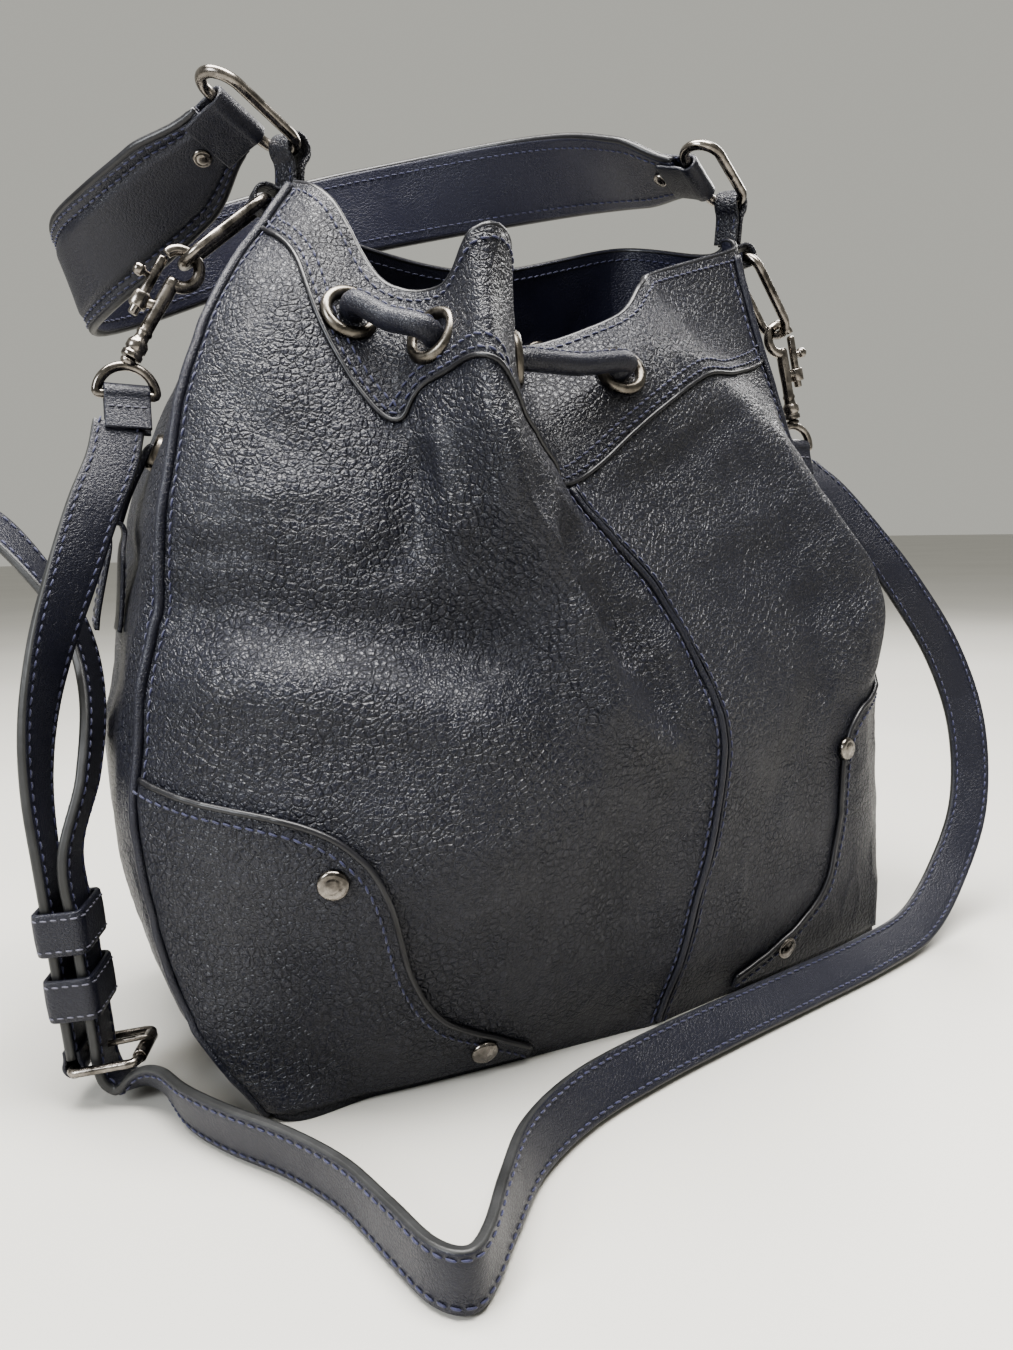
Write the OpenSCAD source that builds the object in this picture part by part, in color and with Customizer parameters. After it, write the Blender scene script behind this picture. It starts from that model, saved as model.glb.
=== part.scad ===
// Soft leather bucket bag with a drawstring mouth, a top handle on two oval rings,
// and a buckled shoulder strap on two swivel snap hooks.
// Millimetres, +Z up, front face towards -Y, origin on the ground under the middle of the base.

/* [Leather] */
// Thickness of the body leather
leather_t = 2; // [1.4:0.1:2.4]
// Thickness of the corner patches
patch_t = 1.3; // [0.8:0.1:1.8]
// Radius of the piping in the gusset seams
piping_r = 1.4; // [1:0.1:1.8]
// Thickness of the lining cloth
lining_t = 0.6; // [0.4:0.1:0.8]

/* [Handle] */
// Width of the top handle
handle_w = 31; // [28:1:34]
// Thickness of each of the handle's two layers
handle_layer_t = 1.7; // [1.2:0.1:2]
// Width of the handle where it loops round a ring
handle_loop_w = 19; // [16:1:19]

/* [Shoulder strap] */
// Width of the shoulder strap
strap_w = 15; // [13:0.5:16]
// Thickness of the shoulder strap
strap_t = 3; // [2.4:0.1:3.2]
// Height of a strap keeper
keeper_h = 13; // [10:1:14]

/* [Drawstring] */
// Diameter of the rolled leather drawstring
cord_d = 7; // [5:0.5:8]
// Outer radius of an eyelet beside the mouth
eyelet_r = 8.8; // [8:0.1:9.4]
// Radius of the hole in an eyelet beside the mouth
eyelet_hole = 5.4; // [4.6:0.1:6]
// Outer radius of a gusset eyelet
side_eyelet_r = 5.8; // [5:0.1:7]
// Radius of the hole in a gusset eyelet
side_eyelet_hole = 3.4; // [2.6:0.1:4]

/* [Metal] */
// Radius of the rod of the four oval rings
ring_rod_r = 1.75; // [1.5:0.05:1.9]
// Radius of the wire of a swivel eye
eye_wire_r = 1.5; // [1.3:0.05:1.6]
// Radius of a patch rivet's head
rivet_r = 4.3; // [3.5:0.1:5]
// Radius of a trigger bolt
bolt_r = 1.5; // [1.3:0.05:1.6]

/* [Hidden] */
$fn = 32;

navy = [0.10, 0.11, 0.16];
dark_navy = [0.07, 0.08, 0.13];
lining_blue = [0.12, 0.13, 0.24];
nickel = [0.45, 0.44, 0.42];
board = [0.25, 0.22, 0.18];

// ---------- body shape: ribs from the base up to the rim, anticlockwise from the front left seam ----------
RIBS = [
    [[-125, -66, 0], [-143, -52, 30], [-153, -48, 80], [-147, -44, 130], [-138, -40, 178], [-121, -30, 228], [-90, -10, 272]],
    [[-95, -69, 0], [-108, -76, 30], [-118, -84, 82], [-118, -72, 132], [-114, -62, 178], [-105, -48, 226], [-84, -28, 262]],
    [[-62, -70, 0], [-66, -82, 30], [-70, -96, 80], [-72, -84, 134], [-80, -74, 172], [-82, -56, 214], [-75, -44, 236]],
    [[-40, -70, 0], [-42, -82, 30], [-42, -94, 84], [-52, -88, 140], [-66, -86, 170], [-72, -76, 200], [-64, -62, 231]],
    [[-22, -70, 0], [-24, -80, 30], [-20, -90, 88], [-36, -96, 146], [-56, -98, 176], [-62, -94, 204], [-62, -81, 241]],
    [[-10, -70, 0], [-6, -78, 30], [0, -84, 90], [-20, -80, 140], [-34, -80, 172], [-46, -74, 200], [-49, -77, 241]],
    [[0, -70, 0], [8, -77, 34], [18, -82, 95], [0, -74, 140], [-24, -68, 170], [-32, -52, 196], [-30, -34, 222]],
    [[30, -64, 0], [38, -72, 36], [46, -74, 92], [36, -62, 140], [16, -56, 170], [2, -52, 206], [8, -34, 232]],
    [[70, -57, 0], [72, -62, 36], [76, -62, 92], [76, -52, 140], [60, -46, 176], [36, -42, 216], [24, -28, 246]],
    [[110, -48, 0], [108, -50, 40], [105, -52, 90], [112, -52, 136], [88, -44, 176], [60, -32, 216], [34, -20, 252]],
    [[118, -42, 0], [124, -36, 40], [126, -30, 90], [116, -30, 136], [98, -24, 176], [86, -16, 220], [76, -9, 266]],
    [[124, 0, 0], [136, 0, 40], [136, 4, 90], [120, 4, 136], [99, 2, 180], [87, 0, 226], [80, 0, 272]],
    [[124, 60, 0], [132, 50, 40], [134, 46, 90], [122, 42, 136], [104, 34, 180], [90, 22, 228], [77, 8, 268]],
    [[60, 70, 0], [64, 76, 40], [66, 80, 90], [66, 76, 136], [62, 70, 180], [60, 60, 226], [58, 46, 278]],
    [[0, 70, 0], [0, 78, 40], [0, 84, 90], [0, 80, 136], [0, 72, 180], [0, 60, 224], [-4, 44, 264]],
    [[-60, 70, 0], [-66, 78, 40], [-70, 82, 90], [-68, 78, 136], [-64, 68, 180], [-58, 54, 226], [-54, 34, 266]],
    [[-125, 62, 0], [-138, 52, 30], [-146, 50, 80], [-142, 44, 130], [-134, 38, 178], [-114, 26, 228], [-90, 9, 270]],
    [[-125, 0, 0], [-146, 0, 30], [-157, 2, 85], [-150, 2, 130], [-140, 2, 178], [-114, 0, 230], [-89, 0, 272]]
];
N_RIBS = len(RIBS);
TOP = 6;
FRONT_LEFT = 0;
FRONT_SEAM = 6;
FRONT_RIGHT = 10;
BACK_RIGHT = 12;
BACK_SEAM = 14;
BACK_LEFT = 16;
ROWS = 12;

function unit(v) = v / norm(v);
// Catmull-Rom curve between b and c
function between(a, b, c, d, t) = 0.5 * (2 * b + (c - a) * t + (2 * a - 5 * b + 4 * c - d) * t * t
    + (3 * b - a - 3 * c + d) * t * t * t);
function row(list, i) = i < 0 ? 2 * list[0] - list[1]
    : i >= len(list) ? 2 * list[len(list) - 1] - list[len(list) - 2] : list[i];
// Point at place s, counted in points, on the curve through a list
function along(list, s) = let(i = min(floor(s), len(list) - 2), t = s - i)
    between(row(list, i - 1), row(list, i), row(list, i + 1), row(list, i + 2), t);
// Point of the body at rib u and level v
function skin(u, v) = let(i = floor(u), t = u - i,
    p = [for (k = [-1:2]) along(RIBS[(i + k + N_RIBS) % N_RIBS], v)])
    between(p[0], p[1], p[2], p[3], t);
function skin_out(u, v) = let(e = 0.04)
    unit(cross(skin(u + e, v) - skin(u - e, v), skin(u, min(v + e, TOP)) - skin(u, max(v - e, 0))));
function off_skin(u, v, off) = skin(u, v) + off * skin_out(u, v);

// Level of the seam between the lower panels and the facings round the mouth
FRONT_SEAM_LEVELS = [5.6, 5.35, 4.5, 5.1, 5.05, 4.4, 4.2, 4.65, 4.9, 5.0, 5.1];
function front_level(u) = along(FRONT_SEAM_LEVELS, u);
function back_level(u) = 4.5 + 0.8 * pow(abs(u - BACK_SEAM) / 2, 2);
// Height of a corner patch's upper edge at each fraction of its length, as a fraction of its full height
PATCH_EDGE = [[0, 1], [0.15, 0.96], [0.38, 0.9], [0.48, 0.83], [0.53, 0.72], [0.56, 0.5], [0.63, 0.32], [0.78, 0.18], [1, 0.05]];
patch_top = 2.35;

// Closed slab between two offsets of a grid of points: outer and inner are grids [column][row]
module slab(outer, inner) {
    nu = len(outer) - 1;
    nv = len(outer[0]) - 1;
    m = (nu + 1) * (nv + 1);
    points = concat([for (c = outer) each c], [for (c = inner) each c]);
    faces = concat(
        [for (i = [0:nu - 1], j = [0:nv - 1]) let(a = i * (nv + 1) + j, b = a + nv + 1)
            each [[a, a + 1, b + 1], [a, b + 1, b], [m + a, m + b + 1, m + a + 1], [m + a, m + b, m + b + 1]]],
        [for (i = [0:nu - 1], e = [0, nv]) let(a = i * (nv + 1) + e, b = a + nv + 1)
            each e == 0 ? [[a, b, m + b], [a, m + b, m + a]] : [[a, m + b, b], [a, m + a, m + b]]],
        [for (j = [0:nv - 1], e = [0, nu]) let(a = e * (nv + 1) + j, b = a + 1)
            each e == 0 ? [[a, m + b, b], [a, m + a, m + b]] : [[a, b, m + b], [a, m + b, m + a]]]);
    polyhedron(points, faces, convexity = 8);
}

// Part of the body's skin from rib u0 to u1, between two levels, one at each end of its columns
module skin_piece(u0, u1, steps, rows, low, high, inner_off, outer_off) {
    us = [for (i = [0:steps]) u0 + (u1 - u0) * i / steps];
    slab([for (u = us) [for (j = [0:rows]) off_skin(u, low(u) + (high(u) - low(u)) * j / rows, outer_off)]],
        [for (u = us) [for (j = [0:rows]) off_skin(u, low(u) + (high(u) - low(u)) * j / rows, inner_off)]]);
}

floor_level = function(u) 0.015;
rim_level = function(u) TOP;
front_join = function(u) front_level(u);
back_join = function(u) back_level(u);

module panel(u0, u1, steps, join) {
    color(navy) skin_piece(u0, u1, steps, ROWS, floor_level, join, -leather_t, 0);
}

module front_left_panel() {
    panel(FRONT_LEFT, FRONT_SEAM, 18, front_join);
}

module front_right_panel() {
    panel(FRONT_SEAM, FRONT_RIGHT, 12, front_join);
}

module back_right_panel() {
    panel(BACK_RIGHT, BACK_SEAM, 6, back_join);
}

module back_left_panel() {
    panel(BACK_SEAM, BACK_LEFT, 6, back_join);
}

module front_facing() {
    color(dark_navy) skin_piece(FRONT_LEFT, FRONT_RIGHT, 30, 4, front_join, rim_level, -leather_t, 0);
}

module back_facing() {
    color(dark_navy) skin_piece(BACK_RIGHT, BACK_LEFT, 12, 4, back_join, rim_level, -leather_t, 0);
}

module left_gusset() {
    color(navy) skin_piece(BACK_LEFT, N_RIBS, 6, ROWS + 4, floor_level, rim_level, -leather_t, 0);
}

module right_gusset() {
    color(navy) skin_piece(FRONT_RIGHT, BACK_RIGHT, 6, ROWS + 4, floor_level, rim_level, -leather_t, 0);
}

module base_outline(inset) {
    polygon([for (i = [0:2 * N_RIBS - 1]) let(p = skin(i / 2, 0), k = 1 - inset / norm([p.x, p.y])) [p.x * k, p.y * k]]);
}

base_t = 1.8;
module base_panel() {
    color(navy) linear_extrude(base_t) base_outline(2.6);
}

module base_board() {
    color(board) translate([0, 0, base_t]) linear_extrude(2.2) base_outline(6);
}

// Cloth tube inside the leather, up to the lower edge of the facings
module lining() {
    steps = 36;
    rows = 8;
    us = [for (i = [0:steps - 1]) N_RIBS * i / steps];
    top = function(u) 4.1;
    low = 0.25;
    outer = [for (u = us) [for (j = [0:rows]) off_skin(u, low + (top(u) - low) * j / rows, -leather_t - 0.4)]];
    inner = [for (u = us) [for (j = [0:rows]) off_skin(u, low + (top(u) - low) * j / rows, -leather_t - 0.4 - lining_t)]];
    n = rows + 1;
    m = steps * n;
    faces = concat(
        [for (i = [0:steps - 1], j = [0:rows - 1]) let(a = i * n + j, b = ((i + 1) % steps) * n + j)
            each [[a, a + 1, b + 1], [a, b + 1, b], [m + a, m + b + 1, m + a + 1], [m + a, m + b, m + b + 1]]],
        [for (i = [0:steps - 1], e = [0, rows]) let(a = i * n + e, b = ((i + 1) % steps) * n + e)
            each e == 0 ? [[a, b, m + b], [a, m + b, m + a]] : [[a, m + b, b], [a, m + a, m + b]]]);
    color(lining_blue) polyhedron(concat([for (c = outer) each c], [for (c = inner) each c]), faces, convexity = 8);
}

// ---------- corner patches ----------
patch_low = 0.1;
module patch(seam, far) {
    side = sign(far - seam);
    reach = abs(far - seam);
    low = function(u) patch_low;
    high = function(u) patch_low + (patch_top - patch_low) * lookup(abs(u - seam) / reach, PATCH_EDGE);
    shares = [0, 0.1, 0.2, 0.3, 0.4, 0.47, 0.51, 0.535, 0.56, 0.59, 0.64, 0.7, 0.78, 0.88, 1];
    us = [for (f = side > 0 ? shares : [for (k = [len(shares) - 1:-1:0]) shares[k]]) seam + side * reach * f];
    color(dark_navy) slab([for (u = us) [for (j = [0:6]) off_skin(u, low(u) + (high(u) - low(u)) * j / 6, patch_t)]],
        [for (u = us) [for (j = [0:6]) off_skin(u, low(u) + (high(u) - low(u)) * j / 6, 0.1)]]);
}

module front_left_patch() {
    patch(FRONT_LEFT + 0.06, 2.65);
}

module front_right_patch() {
    patch(FRONT_RIGHT - 0.06, 7.1);
}

module back_right_patch() {
    patch(BACK_RIGHT + 0.06, BACK_SEAM - 0.45);
}

module back_left_patch() {
    patch(BACK_LEFT - 0.06, BACK_SEAM + 0.45);
}

// ---------- frames of reference for the fittings ----------
// Turns and moves children so that their X and Z axes lie along x_dir and z_dir
module placed(at, x_dir, z_dir) {
    z = unit(z_dir);
    x = unit(x_dir - (x_dir * z) * z);
    y = cross(z, x);
    translate(at) rotate([atan2(y.z, z.z), asin(-x.z), atan2(x.y, x.x)]) children();
}

module on_skin(u, v, off = 0) {
    placed(off_skin(u, v, off), [0.02, 0.05, 1], skin_out(u, v)) children();
}

module domed_rivet(r) {
    intersection() {
        cylinder(r = r, h = 2.4);
        translate([0, 0, 2.2 - 2.2 * r]) sphere(r = 2.2 * r, $fn = 64);
    }
}

PATCH_RIVETS = [[1.17, 1.83], [2.0, 0.33], [8.45, 1.8], [7.72, 0.36], [12.68, 1.75], [13.15, 0.42], [15.32, 1.75], [14.85, 0.42]];
module patch_rivets() {
    color(nickel) for (p = PATCH_RIVETS) on_skin(p[0], p[1], patch_t * 0.8) domed_rivet(rivet_r);
}

// ---------- swept tubes and straps ----------
function path_points(list, per) = [for (i = [0:(len(list) - 1) * per]) along(list, i / per)];
function path_dir(p, i) = unit(p[min(i + 1, len(p) - 1)] - p[max(i - 1, 0)]);

// Round tube along a list of points
module tube(p, r, sides = 8) {
    n = len(p);
    first = unit(cross(path_dir(p, 0), [0.31, 0.2, 0.93]));
    carried = [for (i = 0, x = first; i < n; i = i + 1,
        x = i < n ? unit(x - (x * path_dir(p, i)) * path_dir(p, i)) : x) x];
    points = [for (i = [0:n - 1]) let(d = path_dir(p, i), x = unit(carried[i] - (carried[i] * d) * d), y = cross(d, x))
        for (k = [0:sides - 1]) p[i] + r * (cos(360 * k / sides) * x + sin(360 * k / sides) * y)];
    faces = concat([[for (k = [0:sides - 1]) k]], [[for (k = [sides - 1:-1:0]) (n - 1) * sides + k]],
        [for (i = [0:n - 2], k = [0:sides - 1]) let(a = i * sides + k, b = i * sides + (k + 1) % sides)
            each [[a, a + sides, b + sides], [a, b + sides, b]]]);
    polyhedron(points, faces, convexity = 8);
}

// Flat strap: each row of the route is a point and the direction of the strap's width there
module strap(route, w, low, high, per = 4) {
    p = path_points([for (q = route) q[0]], per);
    ws = path_points([for (q = route) q[1]], per);
    frames = [for (i = [0:len(p) - 1]) let(d = path_dir(p, i), x = unit(ws[i] - (ws[i] * d) * d)) [x, cross(d, x)]];
    outer = [for (i = [0:len(p) - 1]) [p[i] - w / 2 * frames[i][0] + high * frames[i][1], p[i] + w / 2 * frames[i][0] + high * frames[i][1]]];
    inner = [for (i = [0:len(p) - 1]) [p[i] - w / 2 * frames[i][0] + low * frames[i][1], p[i] + w / 2 * frames[i][0] + low * frames[i][1]]];
    slab(outer, inner);
}

module piping(u) {
    p = [for (i = [0:20]) off_skin(u, 0.1 + 5.85 * i / 20, 0.6)];
    color(dark_navy) tube(p, piping_r);
}

module front_left_piping() {
    piping(FRONT_LEFT);
}

module front_right_piping() {
    piping(FRONT_RIGHT);
}

module back_left_piping() {
    piping(BACK_LEFT);
}

module back_right_piping() {
    piping(BACK_RIGHT);
}

// ---------- drawstring ----------
// Eyelets as places on the skin: front face, back face, then one in each gusset
FRONT_EYELETS = [[1.7, 5.2], [3.0, 5.5], [5.4, 5.4], [7.0, 5.2]];
BACK_EYELETS = [[12.9, 5.3], [13.6, 5.2], [14.6, 5.2], [15.3, 5.3]];
LEFT_EYELET = [17, 4.22];
RIGHT_EYELET = [11, 4.25];

module eyelet(r, hole) {
    rotate_extrude() translate([(r + hole) / 2, 0.9]) circle(r = (r - hole) / 2, $fn = 16);
}

module eyelets() {
    color(nickel) {
        for (e = concat(FRONT_EYELETS, BACK_EYELETS)) on_skin(e[0], e[1]) eyelet(eyelet_r, eyelet_hole);
        for (e = [LEFT_EYELET, RIGHT_EYELET]) on_skin(e[0], e[1]) eyelet(side_eyelet_r, side_eyelet_hole);
    }
}

cord_r = cord_d / 2;
cord_in = -cord_r - leather_t - 1;
cord_out = cord_r + 1.5;
function cord_at(e, off) = off_skin(e[0], e[1], off);
// Points inside and outside one face of the bag, in and out of its four eyelets
function cord_route(before, face, after) = concat(
    [cord_at(before, cord_in)],
    [for (k = [0:len(face) - 1]) each k % 2 == 0
        ? [cord_at(face[k], cord_in), cord_at(face[k], cord_out), (cord_at(face[k], cord_out) + cord_at(face[k + 1], cord_out)) / 2]
        : [cord_at(face[k], cord_out), cord_at(face[k], cord_in)]],
    [cord_at(after, cord_in)]);

// Thin end of a drawstring through a gusset eyelet and down to the knot of the pull
tail_r = 1.45;
knot_drop = 0.5;
knot_r = 2.6;
function knot(e) = off_skin(e[0], e[1] - knot_drop, 5.5);
function knot_down(e) = unit(off_skin(e[0], e[1] - knot_drop - 0.6, 5.5) - knot(e));
module cord_tail(e, y) {
    side = [0, y, 0];
    tube(path_points([cord_at(e, -leather_t - 5) + side, cord_at(e, -1) + side, cord_at(e, 3) + side,
        (cord_at(e, 5.5) + knot(e)) / 2 + side, knot(e) - 3.4 * knot_down(e) + side], 3), tail_r, 6);
}

module drawstring(before, face, after, y) {
    color(navy) {
        tube(path_points(cord_route(before, face, after), 4), cord_r);
        cord_tail(LEFT_EYELET, y);
        cord_tail(RIGHT_EYELET, y);
    }
}

module front_drawstring() {
    drawstring([0.6, 5], FRONT_EYELETS, [9, 5.1], -1.6);
}

module back_drawstring() {
    drawstring([12.3, 5], BACK_EYELETS, [16, 5.1], 1.6);
}

// Folded leather pull that hangs from the knot outside a gusset eyelet
module cord_tab(e, side) {
    color(dark_navy) placed(knot(e), [side, 0, 0], -knot_down(e)) rotate([90, 0, 0]) {
        cylinder(r = knot_r, h = 8, center = true);
        linear_extrude(18, center = true)
            polygon([[-1.6, -1], [1.6, -1], [3.4, -24], [3, -30], [1.2, -31], [0, -9], [-1.2, -31], [-3, -30], [-3.4, -24]]);
    }
}

module left_cord_tab() {
    cord_tab(LEFT_EYELET, -1);
}

module right_cord_tab() {
    cord_tab(RIGHT_EYELET, 1);
}

// ---------- oval rings, gusset tabs and handle ----------
RING_LONG = unit([0.8, 0.45, -0.38]);
RING_ACROSS = unit([0.45, -0.89, -0.1] - ([0.45, -0.89, -0.1] * RING_LONG) * RING_LONG);
LEFT_LOOP = [-89, 0, 284];
RIGHT_LOOP = [82, 0, 285];
LEFT_LOWER_LOOP = [-97.7, 0, 268];
RIGHT_LOWER_LOOP = [87, 0, 266];
LEFT_HANG = unit([-0.778, 0, -0.628]);
RIGHT_HANG = unit([0.55, 0, -0.835]);
ring_straight = 20;
ring_end_r = 7;
ring_half = ring_straight / 2 + ring_end_r;

module oval_ring() {
    for (end = [-1, 1])
        translate([end * ring_straight / 2, 0, 0]) rotate([0, 0, end > 0 ? -90 : 90])
            rotate_extrude(angle = 180) translate([ring_end_r, 0]) circle(r = ring_rod_r);
    for (side = [-1, 1])
        translate([-ring_straight / 2, side * ring_end_r, 0]) rotate([0, 90, 0])
            cylinder(r = ring_rod_r, h = ring_straight);
}

module handle_ring(loop) {
    color(nickel) placed(loop - ring_half * RING_LONG, RING_LONG, cross(RING_LONG, RING_ACROSS)) oval_ring();
}

module left_handle_ring() {
    handle_ring(LEFT_LOOP);
}

module right_handle_ring() {
    handle_ring(RIGHT_LOOP);
}

module strap_ring(loop, hang) {
    color(nickel) placed(loop + ring_half * hang, hang, cross(hang, [0, 1, 0])) oval_ring();
}

module left_strap_ring() {
    strap_ring(LEFT_LOWER_LOOP, LEFT_HANG);
}

module right_strap_ring() {
    strap_ring(RIGHT_LOWER_LOOP, RIGHT_HANG);
}

// Leather loop round a rod along Z: a round eye of the given radii with a flat tail along +X
module leather_loop(hole, wall, tail, tail_t, w) {
    linear_extrude(w, center = true) difference() {
        union() {
            circle(r = hole + wall);
            translate([0, -tail_t / 2]) square([tail, tail_t]);
        }
        circle(r = hole);
    }
}

tab_loop_w = 8;
tab_loop_hole = 3.7;
strap_loop_hole = 3.4;
tack_z = 276.6;
module tab_loop(loop) {
    color(dark_navy) {
        placed(loop, [0, 0, -1], RING_ACROSS) leather_loop(tab_loop_hole, 1.4, loop.z - tack_z, 5, tab_loop_w);
        translate([loop.x, 0, tack_z]) rotate([0, 90, 0]) cylinder(r = 3.6, h = 5, center = true);
    }
}

module left_tab_loop() {
    tab_loop(LEFT_LOOP);
}

module right_tab_loop() {
    tab_loop(RIGHT_LOOP);
}

module tab(u, loop, side) {
    color(dark_navy) {
        skin_piece(u - 0.34, u + 0.34, 4, 8, function(u) 4.7, function(u) 5.98, 0.1, 2);
        placed(loop, [-side, 0, 0.25], [0, side, 0]) leather_loop(strap_loop_hole, 1.3, 4.9, 4, tab_loop_w - 1);
    }
}

module left_tab() {
    tab(17, LEFT_LOWER_LOOP, -1);
}

module right_tab() {
    tab(11, RIGHT_LOWER_LOOP, 1);
}

module tab_rivets() {
    color(nickel) for (u = [17, 11]) on_skin(u, 4.95, 1.6) domed_rivet(3.4);
}

// Handle route: point, then direction of its width from the upper to the lower edge
LEFT_BAR = LEFT_LOOP - ring_half * RING_LONG - ring_end_r * RING_ACROSS;
RIGHT_BAR = RIGHT_LOOP - ring_half * RING_LONG - ring_end_r * RING_ACROSS;
LEFT_LEAVE = unit([-0.59, 0.66, -0.46]);
RIGHT_LEAVE = unit([-0.356, 0.886, 0.3]);
HANDLE = [
    [LEFT_BAR + 9 * LEFT_LEAVE, RING_LONG],
    [[-122, 20, 277], [0.78, 0.4, -0.48]],
    [[-137, 36, 266], [0.66, 0.3, -0.68]],
    [[-149, 54, 258], [0.5, 0.12, -0.86]],
    [[-151, 76, 255], [0.25, 0, -0.97]],
    [[-139, 96, 260], [0.05, 0, -1]],
    [[-114, 110, 272], [0, 0, -1]],
    [[-80, 116, 287], [0, 0, -1]],
    [[-44, 114, 299], [0.05, 0.05, -1]],
    [[-8, 104, 307], [0.15, 0.15, -0.96]],
    [[22, 82, 310], [0.3, 0.3, -0.9]],
    [[43, 54, 308], [0.5, 0.4, -0.75]],
    [[55, 28, 302], [0.7, 0.45, -0.55]],
    [RIGHT_BAR + 9 * RIGHT_LEAVE, RING_LONG]
];

module handle_outer() {
    color(navy) strap(HANDLE, handle_w, 0, handle_layer_t);
}

module handle_inner() {
    color(navy) strap(HANDLE, handle_w, -handle_layer_t, 0);
}

rod_play = 0.35;
module handle_chape(bar, leave) {
    color(dark_navy) placed(bar, leave, RING_LONG)
        leather_loop(ring_rod_r + rod_play, handle_layer_t, 9, 2 * handle_layer_t, handle_loop_w);
}

module left_handle_chape() {
    handle_chape(LEFT_BAR, LEFT_LEAVE);
}

module right_handle_chape() {
    handle_chape(RIGHT_BAR, RIGHT_LEAVE);
}

module handle_rivets() {
    color(nickel) for (end = [[LEFT_BAR, LEFT_LEAVE], [RIGHT_BAR, -RIGHT_LEAVE]])
        let(away = end[0] == LEFT_BAR ? end[1] : -end[1], out = unit(cross(end[1], RING_LONG)))
            placed(end[0] + 16 * away, away, out)
                for (face = [0, 180]) rotate([face, 0, 0]) translate([0, 0, handle_layer_t - 0.5]) domed_rivet(3);
}

// ---------- swivel snap hooks ----------
LEFT_HOLD = LEFT_LOWER_LOOP + 2 * ring_half * LEFT_HANG;
RIGHT_HOLD = RIGHT_LOWER_LOOP + 2 * ring_half * RIGHT_HANG;
LEFT_HOOK_UP = unit([0.52, 0, 0.854]);
RIGHT_HOOK_UP = unit([-0.22, 0, 0.975]);
hook_reach = 33.8;
swivel_gap = 2.7;
eye_r = 8.7;
jaw_r = 5.6;
jaw_wire_r = 1.8;
jaw_z = hook_reach - 1.7;
LEFT_SWIVEL = LEFT_HOLD - hook_reach * LEFT_HOOK_UP;
RIGHT_SWIVEL = RIGHT_HOLD - hook_reach * RIGHT_HOOK_UP;
EYE_TOP_LEFT = LEFT_SWIVEL - swivel_gap * LEFT_HOOK_UP;
EYE_TOP_RIGHT = RIGHT_SWIVEL - swivel_gap * RIGHT_HOOK_UP;
STRAP_AXIS = unit(EYE_TOP_RIGHT - EYE_TOP_LEFT);
EYE_UP = cross(STRAP_AXIS, [0, 1, 0]);
eye_drop = eye_r + swivel_gap;
LEFT_EYE_BAR = EYE_TOP_LEFT - eye_r * EYE_UP;
RIGHT_EYE_BAR = EYE_TOP_RIGHT - eye_r * EYE_UP;
stem_r = 1.4;
swivel_play = 0.05;

// Hook with its swivel socket at the origin, its jaw towards +Z and its gate towards -X
module hook() {
    difference() {
        union() {
            cylinder(r = 3.2, h = 6);
            cylinder(r = 2.3, h = jaw_z - jaw_r);
            translate([0, 0, 18]) rotate([0, -90, 0]) cylinder(r = 1.6, h = jaw_r);
            translate([-jaw_r, 0, 14.5]) cylinder(r = 2.6, h = 5);
            translate([0, 0, jaw_z]) rotate([90, 0, 0]) rotate([0, 0, -90])
                rotate_extrude(angle = 255) translate([jaw_r, 0]) circle(r = jaw_wire_r);
        }
        translate([0, 0, -1]) cylinder(r = stem_r + swivel_play, h = 5.5);
        translate([-jaw_r, 0, 14]) cylinder(r = bolt_r + swivel_play, h = 6);
    }
}

// Sprung bolt that closes the jaw, with its thumb knob outside
bolt_top = 32.6;
module bolt() {
    translate([-jaw_r, 0, 12]) cylinder(r = bolt_r, h = bolt_top - 12);
    translate([-jaw_r, 0, 25]) rotate([0, -90, 0]) cylinder(r = 1, h = 3.5);
    translate([-jaw_r - 4.6, 0, 25]) sphere(r = 1.9);
}

// Swivel eye: a stem that turns in the hook's socket, on top of a D with a straight bar
module eye_stem() {
    rotate_extrude() polygon([[0, -2.4], [1.8, -2.4], [2.6, -1.2], [2.6, -0.3], [stem_r, -0.3], [stem_r, 4], [0, 4]]);
}

module eye_ring() {
    rotate([90, 0, 0]) rotate_extrude(angle = 180) translate([eye_r, 0]) circle(r = eye_wire_r);
    rotate([0, 90, 0]) cylinder(r = eye_wire_r, h = 2 * eye_r, center = true);
    for (end = [-1, 1]) translate([end * eye_r, 0, 0]) sphere(r = eye_wire_r);
}

module left_hook() {
    color(nickel) placed(LEFT_SWIVEL, [1, 0, 0], LEFT_HOOK_UP) hook();
}

module right_hook() {
    color(nickel) placed(RIGHT_SWIVEL, [1, 0, 0], RIGHT_HOOK_UP) mirror([1, 0, 0]) hook();
}

module left_bolt() {
    color(nickel) placed(LEFT_SWIVEL, [1, 0, 0], LEFT_HOOK_UP) bolt();
}

module right_bolt() {
    color(nickel) placed(RIGHT_SWIVEL, [1, 0, 0], RIGHT_HOOK_UP) mirror([1, 0, 0]) bolt();
}

module swivel_eye(swivel, up, bar) {
    color(nickel) {
        placed(swivel, [1, 0, 0], up) eye_stem();
        placed(bar, STRAP_AXIS, EYE_UP) eye_ring();
    }
}

module left_eye() {
    swivel_eye(LEFT_SWIVEL, LEFT_HOOK_UP, LEFT_EYE_BAR);
}

module right_eye() {
    swivel_eye(RIGHT_SWIVEL, RIGHT_HOOK_UP, RIGHT_EYE_BAR);
}

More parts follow.
